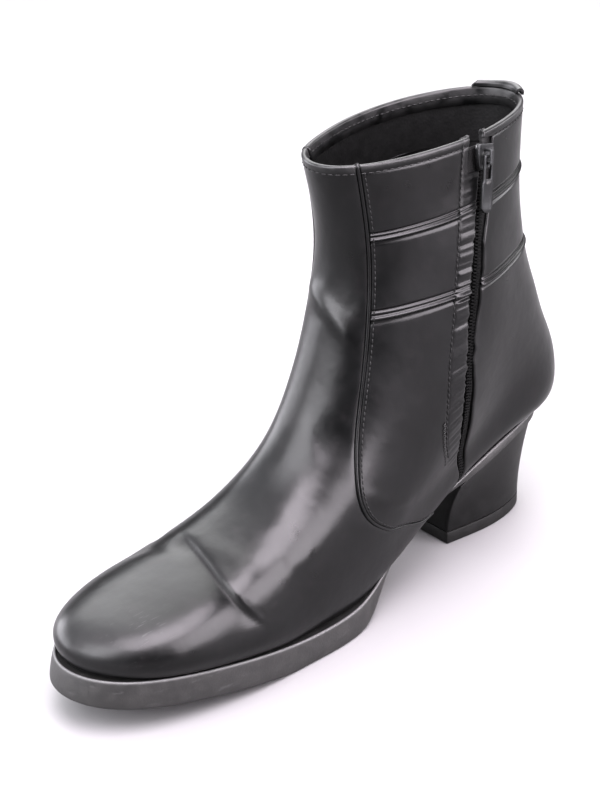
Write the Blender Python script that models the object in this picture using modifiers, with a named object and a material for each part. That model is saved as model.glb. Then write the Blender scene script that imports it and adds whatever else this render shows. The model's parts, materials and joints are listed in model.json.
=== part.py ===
"""A right ankle boot with a block heel and a zip on its inner side.

The upper is a stack of closed rings on the last, from the feather line (where upper and sole meet) to the
collar. X runs from the heel's back to the toe, +Y is the inner (medial) side and +Z is up. Tables and sizes
are in millimetres; MM turns them into metres. The finished boot stands on z = 0 with its bounding box centred
on the origin.
"""
import math
from collections import namedtuple

import bmesh
import bpy
import numpy as np
from mathutils import Matrix

MM = 0.001
GAP = 0.3                 # clearance between pieces that meet
SOLE_DROP = 0.5           # from the feather line down to the sole's top, where both are faceted

# Upper
WALL = 2.2                # leather with its lining
SEAM_RISE = 1.0           # height of a raised seam
SEAM_REACH = 1.6          # from a seam's crest to its foot
SEAM_FADE = 0.4           # ring level below which the front seams flatten into the feather line
SLIT_FOOT = 0.4           # ring level at which the slit ends above the sole
NOTCH_LEVEL = 8.35        # ring level above which the slit widens for the slider
NOTCH_FRONT = 8.0         # reach of the widened slit ahead of the chain
RIM_TAB_LEVEL = 8.88      # ring level above which the rear edge comes forward over the chain's top
RIM_TAB_REAR = 0.6        # reach of the slit behind the chain up there
REAR_STRIP = 11.0         # from the chain back to a column that stays clear of the slit
BAND_LIFT = 0.34          # ring levels by which the upper band is higher at the heel's back than at the toe
LIFT_FOOT = 6.4           # ring level below which nothing rises with the band

# Insole
INSOLE_INSET = 3.6
INSOLE_THICK = 3.0

# Heel
BREAST_TURN = 60.5        # degrees round the feather line from the heel's back to the breast
HEEL_INSET = 0.6          # from the feather line to the heel's top edge
BASE_BACK_X = 16.5
BASE_BREAST_X = 75.7
BASE_CENTRE_Y = -2.5
HEEL_TAPER = 1.7          # above 1 the block narrows quickly under the seat
LIFT_THICK = 6.0          # rubber top piece
LIFT_BEVEL = 0.5

# Zip
CHAIN_CLEAR = 0.5         # from the slit's edge to the chain
CHAIN_TOP = -0.5          # the chain's outer face, below the leather's face
CHAIN_THICK = 1.5
CHAIN_FOOT, CHAIN_HEAD = 0.46, 8.80    # ring levels of the chain's ends
SLIDER_LEVEL = 8.60       # ring level of the slider's middle
SLIDER_WIDTH, SLIDER_LENGTH, SLIDER_THICK = 9.4, 10.4, 2.4
BRIDGE_WIDTH, BRIDGE_LENGTH, BRIDGE_RISE, BRIDGE_THICK = 2.0, 6.4, 3.4, 1.0
BRIDGE_SUNK = 0.4         # the bridge's feet in the slider's body
TAB_THICK = 1.3
TAB_EYE_WIDTH, TAB_EYE_LENGTH = 3.4, 8.6
TAB_HEAD_WIDTH, TAB_FOOT_WIDTH, TAB_LENGTH = 5.6, 6.8, 24.0
TAB_CORNER, TAB_TIP_CORNER = 0.8, 1.8
TAB_NECK, TAB_SHOULDER = 0.9, 1.0      # below the eye: the head's width, then widening

# Pull loop
LOOP_START, LOOP_END = -30.0, 20.0     # degrees round the collar from the heel's back
LOOP_NEAR, LOOP_FAR = -0.5, 3.1        # from the collar's outer face to the strap's two faces
LOOP_RISE = 3.2           # above the collar
STRAP_THICK = 1.15        # each of the two layers of the folded strap
FOLD_OUTER = 0.9          # slope of the fold's outer corners
FOLD_DEEP, FOLD_WIDE = 0.4, 0.1        # slope of the fold's inner corners
LOOP_SECTIONS = 11

# Rings from the feather line up to the collar. droop is the share of the last's arched bottom that a ring
# still follows. lateral and medial are half widths at the five stations heel back, heel, waist, ball and toe,
# which are 30 degrees apart round the ring.
Ring = namedtuple("Ring", "back_x back_z front_x front_z droop lateral medial")
RINGS = (
    Ring(10.0, 52.0, 278.0, 26.5, 1.00, (23.0, 31.0, 44.5, 41.5, 26.0), (21.8, 27.0, 34.6, 38.6, 27.9)),
    Ring(2.5, 59.0, 279.0, 35.0, 1.00, (26.5, 34.0, 46.0, 43.0, 27.5), (26.5, 29.0, 36.0, 41.5, 30.0)),
    Ring(0.0, 71.0, 266.0, 43.0, 0.80, (25.0, 31.5, 39.5, 35.5, 23.0), (27.5, 29.5, 36.5, 39.5, 28.5)),
    Ring(1.5, 86.0, 229.0, 50.5, 0.60, (21.5, 28.0, 31.5, 27.5, 18.0), (25.0, 30.5, 36.5, 37.0, 25.5)),
    Ring(9.0, 103.3, 184.5, 66.0, 0.30, (18.0, 26.0, 29.0, 24.5, 15.0), (23.5, 32.0, 38.0, 35.0, 22.5)),
    Ring(17.0, 121.7, 155.5, 94.5, 0.10, (16.5, 25.5, 30.0, 24.3, 14.3), (22.5, 33.0, 38.5, 32.8, 19.5)),
    Ring(23.5, 140.5, 139.5, 128.0, 0.00, (16.5, 26.7, 31.7, 25.1, 14.9), (21.0, 32.5, 37.7, 31.2, 18.8)),
    Ring(26.0, 160.0, 132.0, 154.5, 0.00, (16.3, 27.7, 31.7, 26.2, 15.4), (19.2, 30.4, 35.5, 29.2, 17.2)),
    Ring(24.0, 181.0, 132.5, 177.5, 0.00, (16.5, 28.0, 31.8, 26.6, 15.6), (16.7, 27.9, 31.7, 26.8, 15.7)),
    Ring(19.5, 205.0, 137.5, 201.0, 0.00, (16.4, 27.6, 31.5, 26.4, 15.5), (15.0, 25.2, 28.6, 24.2, 14.3)),
)
COLLAR = len(RINGS) - 1

# Side profile of last and sole: share of the length from heel to toe, height of the feather line, height of
# the sole's underside, how far the sole's top stands out from the feather line, and its bottom from its top.
Profile = namedtuple("Profile", "share feather tread ledge flare")
PROFILE = (
    Profile(0.000, 52.0, 47.6, 0.6, 0.0),
    Profile(0.067, 53.2, 48.7, 0.6, 0.0),
    Profile(0.250, 42.0, 36.8, 0.2, -1.5),
    Profile(0.370, 28.5, 21.5, -3.2, -8.0),
    Profile(0.460, 18.9, 6.5, -0.2, -3.0),
    Profile(0.520, 13.8, 0.6, 2.4, 0.5),
    Profile(0.570, 13.0, -0.4, 3.4, 0.9),
    Profile(0.670, 13.8, -0.4, 2.0, 0.4),
    Profile(0.750, 16.9, 3.0, 1.2, 0.7),
    Profile(0.933, 24.5, 11.2, 1.1, 1.2),
    Profile(1.000, 26.5, 14.0, 3.0, 3.0),
)
# The sole's side from its top edge to its bottom edge: share of the thickness and how far it stands out.
Edge = namedtuple("Edge", "share out")
SOLE_SIDE = (Edge(0.0, -0.9), Edge(0.07, 0.0), Edge(0.55, 0.2), Edge(0.93, 0.1), Edge(1.0, -0.7))
# The heel's base: degrees round from its back and half width.
Base = namedtuple("Base", "turn half_width")
HEEL_BASE = (Base(0.0, 0.0), Base(15.0, 12.0), Base(30.0, 18.8), Base(45.0, 21.0), Base(60.5, 18.0))
# Lines on the upper: ring level and degrees round from the heel's back.
Line = namedtuple("Line", "level turn")
FRONT_SEAM = (
    Line(0.0, 70.0), Line(0.9, 76.5), Line(1.8, 84.5), Line(2.9, 102.0), Line(3.9, 124.0), Line(4.8, 137.5),
    Line(5.4, 142.0), Line(6.5, 147.5), Line(7.7, 148.5), Line(9.0, 146.0),
)
# The zip's slit: ring level, degrees round, and reach behind and ahead of the chain.
Slit = namedtuple("Slit", "level turn rear front")
ZIP_LINE = (
    Slit(0.0, 62.3, 1.6, 1.6), Slit(1.0, 64.0, 1.9, 1.9), Slit(1.5, 65.4, 2.4, 2.4),
    Slit(2.5, 70.0, 3.6, 3.6), Slit(3.5, 77.5, 4.2, 4.2), Slit(4.0, 82.0, 4.3, 4.3),
    Slit(4.5, 85.7, 3.8, 3.8), Slit(5.0, 88.8, 2.5, 2.5), Slit(5.3, 89.8, 2.2, 2.2),
    Slit(6.0, 89.8, 3.6, 3.5), Slit(6.5, 89.0, 3.6, 3.6), Slit(7.0, 87.6, 3.2, 3.2),
    Slit(7.5, 85.6, 5.0, 2.7), Slit(8.0, 83.4, 7.2, 1.7), Slit(8.3, 82.1, 7.4, 1.0),
    Slit(9.0, 79.0, 7.0, 1.0),
)
BAND_SEAMS = (6.25, 7.60)      # ring levels of the two raised seams round the side and back panels

NUDGE = 0.004                  # step for slopes on the last, in ring levels or radians
SMOOTH_ANGLE = 40.0            # degrees between faces above which an edge stays sharp
COLLECTION = "heeled_boot"
BLACK_LEATHER = ((0.022, 0.022, 0.024, 1.0), 0.36, 0.0)
BLACK_RUBBER = ((0.030, 0.030, 0.031, 1.0), 0.70, 0.0)
BLACK_LINING = ((0.014, 0.014, 0.015, 1.0), 0.75, 0.0)
BLACK_WEBBING = ((0.016, 0.016, 0.017, 1.0), 0.85, 0.0)
DARK_METAL = ((0.060, 0.060, 0.065, 1.0), 0.38, 1.0)


# Curves through table values

def natural_spline(knots, values, at):
    """Cubic through the values with straight ends; values may have columns."""
    knots = np.asarray(knots, float)
    values = np.asarray(values, float)
    steps = np.diff(knots)
    count = len(knots)
    system = np.eye(count)
    right = np.zeros_like(values)
    for i in range(1, count - 1):
        system[i, i - 1:i + 2] = steps[i - 1], 2 * (steps[i - 1] + steps[i]), steps[i]
        right[i] = 6 * ((values[i + 1] - values[i]) / steps[i] - (values[i] - values[i - 1]) / steps[i - 1])
    bends = np.linalg.solve(system, right)
    at = np.asarray(at, float)
    cell = np.clip(np.searchsorted(knots, at, side="right") - 1, 0, count - 2)
    width = steps[cell]
    left = (knots[cell + 1] - at) / width
    across = 1 - left
    if values.ndim > 1:
        left, across, width = left[..., None], across[..., None], width[..., None]
    cubic = (left ** 3 - left) * bends[cell] + (across ** 3 - across) * bends[cell + 1]
    return left * values[cell] + across * values[cell + 1] + cubic * width ** 2 / 6


def closed_spline(values, turn):
    """Cubic through equally spaced values round a ring, each point with its own ring; turn is in radians."""
    count = values.shape[-1]
    step = 2 * math.pi / count
    around = np.eye(count)
    system = step * (4 * around + np.roll(around, 1, 1) + np.roll(around, -1, 1)) / 6
    second = np.linalg.solve(system, (np.roll(around, -1, 0) - 2 * around + np.roll(around, 1, 0)) / step)
    bends = values @ second.T
    place = np.mod(turn, 2 * math.pi) / step
    cell = np.minimum(place.astype(int), count - 1)
    after = (cell + 1) % count
    across = place - cell
    left = 1 - across

    def at(table, index):
        return np.take_along_axis(table, index[..., None], -1)[..., 0]

    cubic = (left ** 3 - left) * at(bends, cell) + (across ** 3 - across) * at(bends, after)
    return left * at(values, cell) + across * at(values, after) + cubic * step ** 2 / 6


def line_turn(line, level):
    """Radians round the ring at which a line on the upper crosses a ring level."""
    return np.radians(natural_spline([p.level for p in line], [p.turn for p in line], level))


# The last

RING_TABLE = np.array([r[:5] + r.lateral + r.medial for r in RINGS])
PROFILE_TABLE = np.array(PROFILE)


def profile(name, share):
    """A column of the side profile at a share of the feather line's length."""
    column = Profile._fields.index(name)
    return natural_spline(PROFILE_TABLE[:, 0], PROFILE_TABLE[:, column], share)


def share_at(x):
    """Share of the feather line's length at a place along X."""
    return (np.asarray(x) - RINGS[0].back_x) / (RINGS[0].front_x - RINGS[0].back_x)


def feather_z(x):
    return profile("feather", share_at(x))


def tread_z(x):
    """Underside of the sole; it lies flat on the floor under the ball."""
    return np.maximum(profile("tread", share_at(x)), 0.0)


def last_point(level, turn):
    """Points of the upper's outer face at ring levels and radians round from the heel's back."""
    level, turn = np.broadcast_arrays(np.asarray(level, float), np.asarray(turn, float))
    row = natural_spline(np.arange(len(RINGS)), RING_TABLE, level)
    back_x, back_z, front_x, front_z, droop = np.moveaxis(row[..., :5], -1, 0)
    none = np.zeros(row.shape[:-1] + (1,))
    widths = np.concatenate([none, row[..., 10:15], none, -row[..., 9:4:-1]], -1)
    share = (1 - np.cos(turn)) / 2
    heel, toe = PROFILE[0].feather, PROFILE[-1].feather
    arch = profile("feather", share) - (heel + (toe - heel) * share)
    x = back_x + (front_x - back_x) * share
    z = back_z + (front_z - back_z) * share + droop * arch
    return np.stack([x, closed_spline(widths, turn), z], -1)


def last_axes(level, turn):
    """Unit vectors on the upper's outer face: round the ring, up the boot, and outwards."""
    around = last_point(level, turn + NUDGE) - last_point(level, turn - NUDGE)
    above, below = np.minimum(level + NUDGE, COLLAR), np.maximum(level - NUDGE, 0.0)
    up = last_point(above, turn) - last_point(below, turn)
    outward = np.cross(up, around)
    outward /= np.linalg.norm(outward, axis=-1, keepdims=True)
    around = around / np.linalg.norm(around, axis=-1, keepdims=True)
    return around, np.cross(around, outward), outward


def lifted(level, turn):
    """Ring levels of a row at each turn: rows near the upper band rise with it towards the heel's back."""
    near = np.interp(level, (LIFT_FOOT, BAND_SEAMS[1], COLLAR), (0.0, 1.0, 0.0))
    return level + BAND_LIFT * near * (1 + np.cos(turn)) / 2


def turn_per_mm(level, turn):
    """Radians round the ring for a millimetre along it."""
    run = np.linalg.norm(last_point(level, turn + NUDGE) - last_point(level, turn - NUDGE))
    return 2 * NUDGE / run


def feather_ring(turns, out):
    """The feather line set outwards in plan; its height is left to the piece."""
    along = last_point(0.0, turns + NUDGE) - last_point(0.0, turns - NUDGE)
    outward = np.column_stack([-along[:, 1], along[:, 0]])
    outward /= np.linalg.norm(outward, axis=1, keepdims=True)
    return last_point(0.0, turns)[:, :2] + outward * np.reshape(out, (-1, 1))


# Building objects

def new_object(name, mesh):
    parts = bpy.data.collections[COLLECTION]
    piece = bpy.data.objects.new(name, mesh)
    parts.objects.link(piece)
    return piece


def loft(name, rings, capped=True, skip=()):
    """Skin a grid of points, closed rings by columns.

    Capped, both ends are closed by joining each column to its mirror column; skip holds (ring, column) cells
    that stay open.
    """
    rings = np.asarray(rings, float)
    count, columns = rings.shape[:2]
    faces = []
    for i in range(count - 1):
        for k in range(columns):
            if (i, k) not in skip:
                after = (k + 1) % columns
                low, high = i * columns, (i + 1) * columns
                faces.append((low + k, high + k, high + after, low + after))
    if capped:
        last = (count - 1) * columns
        for k in range((columns - 1) // 2):
            mirror = columns - 1 - k
            rung = list(dict.fromkeys((k, k + 1, mirror - 1, mirror)))
            if len(rung) > 2:
                faces.append(tuple(reversed(rung)))
                faces.append(tuple(last + i for i in rung))
    mesh = bpy.data.meshes.new(name)
    mesh.from_pydata((rings.reshape(-1, 3) * MM).tolist(), [], faces)
    if capped:
        shape = bmesh.new()
        shape.from_mesh(mesh)
        bmesh.ops.recalc_face_normals(shape, faces=shape.faces)
        shape.to_mesh(mesh)
        shape.free()
    mesh.shade_smooth()
    mesh.set_sharp_from_angle(angle=math.radians(SMOOTH_ANGLE))
    return new_object(name, mesh)


def finish(piece, name, look, parent):
    colour, roughness, metallic = look
    material = bpy.data.materials.new(name)
    material.use_nodes = True
    shader = material.node_tree.nodes["Principled BSDF"]
    shader.inputs["Base Color"].default_value = colour
    shader.inputs["Roughness"].default_value = roughness
    shader.inputs["Metallic"].default_value = metallic
    piece.data.materials.clear()
    piece.data.materials.append(material)
    piece.parent = parent
    return piece


def box(size, centre):
    """A block as a new object, sizes and centre in millimetres."""
    bpy.ops.mesh.primitive_cube_add(size=1.0)
    block = bpy.context.object
    block.data.transform(Matrix.Diagonal([s * MM for s in size] + [1.0]))
    block.data.transform(Matrix.Translation([c * MM for c in centre]))
    return block


def join_solid(target, other):
    """Union another solid into target and drop it."""
    union = target.modifiers.new("union", "BOOLEAN")
    union.operation = "UNION"
    union.solver = "EXACT"
    union.object = other
    bpy.context.view_layer.update()
    depsgraph = bpy.context.evaluated_depsgraph_get()
    target.data = bpy.data.meshes.new_from_object(target.evaluated_get(depsgraph))
    target.modifiers.clear()
    bpy.data.objects.remove(other)


# The pieces

UPPER_LEVELS = (0.0, 0.4, 0.9, 1.5, 2.1, 2.7, 3.3, 3.9, 4.4, 4.9, 5.4, 5.8, 6.18, 6.25, 6.32, 6.7, 7.1, 7.53,
                7.60, 7.67, 7.95, 8.18, 8.32, 8.6, 8.84, 8.88, 9.0)
BACK_TO_ZIP, ZIP_TO_SEAM, SEAM_TO_TOE, SEAM_TO_BACK = 7, 5, 12, 12    # columns between the upper's lines


def zip_row(level):
    """Ring level at which a row crosses the zip, the chain's turn there, and the turn for a millimetre."""
    level = float(lifted(level, line_turn(ZIP_LINE, level)))
    middle = float(line_turn(ZIP_LINE, level))
    return level, middle, float(turn_per_mm(level, middle))


def slit_reach(level):
    """Millimetres from the chain to the slit's rear and front edge, without notch and rim."""
    levels, _, rears, fronts = np.transpose(ZIP_LINE)
    return np.interp(level, levels, rears), np.interp(level, levels, fronts)


def upper_columns(row):
    """Radians round a row for the upper's columns, which follow slit and seams, with the seams' crests."""
    level, middle, per_mm = zip_row(row)
    rear, front = slit_reach(level)
    if level > NOTCH_LEVEL:
        front = NOTCH_FRONT
    if level > RIM_TAB_LEVEL:
        rear = RIM_TAB_REAR
    seam = float(line_turn(FRONT_SEAM, row))
    reach = SEAM_REACH * turn_per_mm(row, seam)
    far_reach = SEAM_REACH * turn_per_mm(row, -seam)
    stops = (
        (0.0, BACK_TO_ZIP), (middle - REAR_STRIP * per_mm, 1), (middle - rear * per_mm, 1),
        (middle + front * per_mm, ZIP_TO_SEAM), (seam - reach, 1), (seam, 1),
        (seam + reach, SEAM_TO_TOE), (math.pi, SEAM_TO_TOE), (2 * math.pi - seam - far_reach, 1),
        (2 * math.pi - seam, 1), (2 * math.pi - seam + far_reach, SEAM_TO_BACK), (2 * math.pi, 0),
    )
    columns = []
    for (start, cells), (end, _) in zip(stops, stops[1:]):
        columns.extend(start + (end - start) * k / cells for k in range(cells))
    return np.array(columns)


SLIT_COLUMN = BACK_TO_ZIP + 1
MEDIAL_SEAM = SLIT_COLUMN + 1 + ZIP_TO_SEAM + 1
LATERAL_SEAM = MEDIAL_SEAM + 1 + 2 * SEAM_TO_TOE + 1


def build_upper(parent):
    """The leather upper: its outer face as one open surface, given its wall inwards."""
    rings = []
    for row in UPPER_LEVELS:
        turns = upper_columns(row)
        rise = np.zeros(len(turns))
        rise[[MEDIAL_SEAM, LATERAL_SEAM]] = SEAM_RISE * min(row / SEAM_FADE, 1.0)
        if row in BAND_SEAMS:
            rise[:MEDIAL_SEAM] = SEAM_RISE
            rise[LATERAL_SEAM:] = SEAM_RISE
        levels = lifted(row, turns)
        _, _, outward = last_axes(levels, turns)
        rings.append(last_point(levels, turns) + outward * rise[:, None])
    skip = {(i, SLIT_COLUMN) for i, row in enumerate(UPPER_LEVELS) if row >= SLIT_FOOT}
    upper = loft("upper", rings, capped=False, skip=skip)
    wall = upper.modifiers.new("wall", "SOLIDIFY")
    wall.thickness = WALL * MM
    wall.offset = -1.0
    return finish(upper, "black_leather", BLACK_LEATHER, parent)


SOLE_COLUMNS = 64


def build_outsole(parent):
    """The unit sole: feather line plus ledge, with the side's profile from top edge to tread."""
    turns = np.linspace(0, 2 * math.pi, SOLE_COLUMNS, endpoint=False) + math.pi / SOLE_COLUMNS
    share = (1 - np.cos(turns)) / 2
    ledge, flare = profile("ledge", share), profile("flare", share)
    rings = []
    for edge in SOLE_SIDE:
        plan = feather_ring(turns, ledge + flare * edge.share + edge.out)
        top, bottom = feather_z(plan[:, 0]) - SOLE_DROP, tread_z(plan[:, 0])
        rings.append(np.column_stack([plan, top + (bottom - top) * edge.share]))
    return finish(loft("outsole", rings), "black_rubber", BLACK_RUBBER, parent)


def build_insole(parent):
    """The insole board inside the upper, on top of the sole."""
    turns = np.linspace(0, 2 * math.pi, SOLE_COLUMNS, endpoint=False) + math.pi / SOLE_COLUMNS
    rings = []
    for lift in (GAP, GAP + INSOLE_THICK):
        plan = feather_ring(turns, np.full(len(turns), -INSOLE_INSET))
        rings.append(np.column_stack([plan, feather_z(plan[:, 0]) + lift]))
    return finish(loft("insole", rings), "insole_cover", BLACK_LINING, parent)


HEEL_COLUMNS = 30
HEEL_FALL = (0.0, 0.12, 0.3, 0.6, 1.0)      # shares of the way down the heel block


def heel_base(turns):
    """Plan of the heel where it meets its top piece."""
    reach = (1 - np.cos(turns)) / (1 - math.cos(math.radians(BREAST_TURN)))
    x = BASE_BACK_X + (BASE_BREAST_X - BASE_BACK_X) * reach
    stops, widths = np.transpose(HEEL_BASE)
    half = natural_spline(stops, widths, np.degrees(np.abs(turns)))
    return np.column_stack([x, BASE_CENTRE_Y + np.sign(turns) * half])


def heel_turns():
    limit = math.radians(BREAST_TURN)
    return np.linspace(-limit, limit, HEEL_COLUMNS)


def build_heel(parent):
    """The tapered heel block: quick to narrow under the seat, then nearly straight to its base."""
    turns = heel_turns()
    seat, base = feather_ring(turns, np.full(len(turns), -HEEL_INSET)), heel_base(turns)
    rings = []
    for fall in HEEL_FALL:
        plan = seat + (base - seat) * (1 - (1 - fall) ** HEEL_TAPER)
        top = tread_z(plan[:, 0]) - GAP
        rings.append(np.column_stack([plan, top + (LIFT_THICK + GAP - top) * fall]))
    return finish(loft("heel", rings), "heel_block", BLACK_LEATHER, parent)


def build_lift(parent):
    """The heel's rubber top piece, flat on the floor."""
    base = heel_base(heel_turns())
    inward = base.mean(axis=0) - base
    inward /= np.linalg.norm(inward, axis=1, keepdims=True)
    rings = []
    for z, inset in ((LIFT_THICK, 0.0), (LIFT_BEVEL, 0.0), (0.0, LIFT_BEVEL)):
        rings.append(np.column_stack([base + inward * inset, np.full(len(base), z)]))
    return finish(loft("heel_top_piece", rings), "top_piece_rubber", BLACK_RUBBER, parent)


CHAIN_COLUMNS = 5


def build_chain(parent):
    """The zip's closed chain, a strip that fills the slit."""
    rings = []
    for row in (CHAIN_FOOT,) + tuple(r for r in UPPER_LEVELS if SLIT_FOOT < r < CHAIN_HEAD) + (CHAIN_HEAD,):
        level, middle, per_mm = zip_row(row)
        rear, front = slit_reach(level)
        across = np.linspace(CHAIN_CLEAR - rear, front - CHAIN_CLEAR, CHAIN_COLUMNS)
        turns = middle + across * per_mm
        _, _, outward = last_axes(level, turns)
        face = last_point(level, turns) + outward * CHAIN_TOP
        rings.append(np.concatenate([face, (face - outward * CHAIN_THICK)[::-1]]))
    return finish(loft("zip_chain", rings), "zip_chain", BLACK_WEBBING, parent)


SLIDER_REACH = 0.2             # ring levels above and below the slider over which the chain's way is taken


def slider_frame():
    """Matrix of the slider: X round the boot, Y up along the chain, Z outwards from the chain's face."""
    turn = line_turn(ZIP_LINE, SLIDER_LEVEL)
    _, _, outward = last_axes(SLIDER_LEVEL, turn)
    above, below = SLIDER_LEVEL + SLIDER_REACH, SLIDER_LEVEL - SLIDER_REACH
    up = last_point(above, line_turn(ZIP_LINE, above)) - last_point(below, line_turn(ZIP_LINE, below))
    up -= outward * (up @ outward)
    up /= np.linalg.norm(up)
    frame = np.eye(4)
    frame[:3, :3] = np.column_stack([np.cross(up, outward), up, outward])
    frame[:3, 3] = (last_point(SLIDER_LEVEL, turn) + outward * (CHAIN_TOP + GAP)) * MM
    return Matrix(frame.tolist())


AXIS_HEIGHT = SLIDER_THICK + (BRIDGE_RISE - BRIDGE_THICK) / 2


def build_slider(parent):
    """Slider body with a bridge along the chain that holds the pull tab."""
    slider = box((SLIDER_WIDTH, SLIDER_LENGTH, SLIDER_THICK), (0, 0, SLIDER_THICK / 2))
    slider.name = slider.data.name = "zip_slider"
    post_y = (BRIDGE_LENGTH - BRIDGE_THICK) / 2
    height = BRIDGE_RISE + BRIDGE_SUNK
    post_z = SLIDER_THICK - BRIDGE_SUNK + height / 2
    for y in (-post_y, post_y):
        join_solid(slider, box((BRIDGE_WIDTH, BRIDGE_THICK, height), (0, y, post_z)))
    top_z = SLIDER_THICK + BRIDGE_RISE - BRIDGE_THICK / 2
    join_solid(slider, box((BRIDGE_WIDTH, BRIDGE_LENGTH, BRIDGE_THICK), (0, 0, top_z)))
    for collection in slider.users_collection:
        collection.objects.unlink(slider)
    bpy.data.collections[COLLECTION].objects.link(slider)
    slider.matrix_local = slider_frame()
    return finish(slider, "slider_metal", DARK_METAL, parent)


def build_pull(parent):
    """The pull tab: a flat outline with an eye round the bridge; its origin is on the hinge's axis."""
    outline = bpy.data.curves.new("zip_pull", "CURVE")
    outline.dimensions = "2D"
    outline.fill_mode = "BOTH"
    outline.extrude = TAB_THICK / 2 * MM
    bar = TAB_THICK / 2
    head, foot = TAB_HEAD_WIDTH / 2, TAB_FOOT_WIDTH / 2
    eye = TAB_EYE_WIDTH / 2
    neck = -bar - TAB_EYE_LENGTH - TAB_NECK
    waist = neck - TAB_SHOULDER
    tip = bar - TAB_LENGTH
    right = ((head - TAB_CORNER, bar), (head, bar - TAB_CORNER), (head, neck), (foot, waist),
             (foot, tip + TAB_TIP_CORNER), (foot - TAB_TIP_CORNER, tip))
    rim = right + tuple((-x, y) for x, y in reversed(right))
    hole = ((-eye, -bar), (-eye, -bar - TAB_EYE_LENGTH), (eye, -bar - TAB_EYE_LENGTH), (eye, -bar))
    for points in (rim, hole):
        spline = outline.splines.new("POLY")
        spline.points.add(len(points) - 1)
        spline.use_cyclic_u = True
        for point, (x, y) in zip(spline.points, points):
            point.co = (x * MM, y * MM, 0.0, 1.0)
    pull = new_object("zip_pull", outline)
    pull.matrix_local = slider_frame() @ Matrix.Translation((0.0, 0.0, AXIS_HEIGHT * MM))
    return finish(pull, "pull_metal", DARK_METAL, parent)


def build_loop(parent):
    """The folded strap along the back of the collar's edge: an upside-down U swept along it."""
    inner_near, inner_far = LOOP_NEAR + STRAP_THICK, LOOP_FAR - STRAP_THICK
    fold = LOOP_RISE - STRAP_THICK
    section = np.array((
        (LOOP_NEAR, GAP), (LOOP_NEAR, fold), (LOOP_NEAR + FOLD_OUTER, LOOP_RISE),
        (LOOP_FAR - FOLD_OUTER, LOOP_RISE), (LOOP_FAR, fold), (LOOP_FAR, GAP),
        (inner_far, GAP), (inner_far, fold - FOLD_DEEP), (inner_far - FOLD_WIDE, fold),
        (inner_near + FOLD_WIDE, fold), (inner_near, fold - FOLD_DEEP), (inner_near, GAP),
    ))
    rings = []
    for turn in np.radians(np.linspace(LOOP_START, LOOP_END, LOOP_SECTIONS)):
        _, up, outward = last_axes(COLLAR, turn)
        depth, height = section.T[..., None]
        rings.append(last_point(COLLAR, turn) - outward * depth + up * height)
    return finish(loft("pull_loop", rings), "loop_leather", BLACK_LEATHER, parent)


def centre_on_floor(root):
    """Move the root so that the boot's bounding box is centred over the origin, standing on z = 0."""
    bpy.context.view_layer.update()
    depsgraph = bpy.context.evaluated_depsgraph_get()
    corners = []
    for piece in bpy.data.collections[COLLECTION].objects:
        if piece.type != "EMPTY":
            shown = piece.evaluated_get(depsgraph)
            mesh = shown.to_mesh()
            corners.extend(tuple(piece.matrix_world @ v.co) for v in mesh.vertices)
            shown.to_mesh_clear()
    low, high = np.min(corners, axis=0), np.max(corners, axis=0)
    root.location = (-(low[0] + high[0]) / 2, -(low[1] + high[1]) / 2, -low[2])


def main():
    for old in list(bpy.data.objects):
        bpy.data.objects.remove(old)
    bpy.context.scene.collection.children.link(bpy.data.collections.new(COLLECTION))
    root = new_object("boot_root", None)
    for build in (build_upper, build_outsole, build_insole, build_heel, build_lift, build_chain, build_slider,
                  build_pull, build_loop):
        build(root)
    centre_on_floor(root)


main()
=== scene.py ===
"""A worn right ankle boot in black leather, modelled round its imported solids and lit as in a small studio.

Sizes are in millimetres on the last: X runs from the heel's back to the toe, +Y is the inner side, +Z is up.
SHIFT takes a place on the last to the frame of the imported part, and MM takes millimetres to metres. A place
on the upper is a ring level, 0 at the feather line and 9 at the collar, and a turn round from the heel's
back, which grows over the inner side to the toe.
"""
import json
import math
from collections import namedtuple

import bmesh
import bpy
import numpy as np
from mathutils import Matrix, Vector


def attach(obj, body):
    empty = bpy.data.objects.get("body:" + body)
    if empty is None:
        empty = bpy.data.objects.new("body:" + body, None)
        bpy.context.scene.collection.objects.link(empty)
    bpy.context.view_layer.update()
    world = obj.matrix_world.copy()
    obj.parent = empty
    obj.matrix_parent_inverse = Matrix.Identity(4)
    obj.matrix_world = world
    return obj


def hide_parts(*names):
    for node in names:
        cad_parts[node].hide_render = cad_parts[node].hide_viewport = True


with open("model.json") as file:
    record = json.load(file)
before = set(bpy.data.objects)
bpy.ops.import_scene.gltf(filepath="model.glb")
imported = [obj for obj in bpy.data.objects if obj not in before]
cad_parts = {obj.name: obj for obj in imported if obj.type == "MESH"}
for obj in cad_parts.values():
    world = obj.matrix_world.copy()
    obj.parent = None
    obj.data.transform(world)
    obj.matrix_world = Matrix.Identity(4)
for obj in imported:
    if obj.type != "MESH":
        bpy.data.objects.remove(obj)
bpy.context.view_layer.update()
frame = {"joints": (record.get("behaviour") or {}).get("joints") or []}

MM = 0.001
BOOT, PULL = "boot", "zip_pull"

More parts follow.
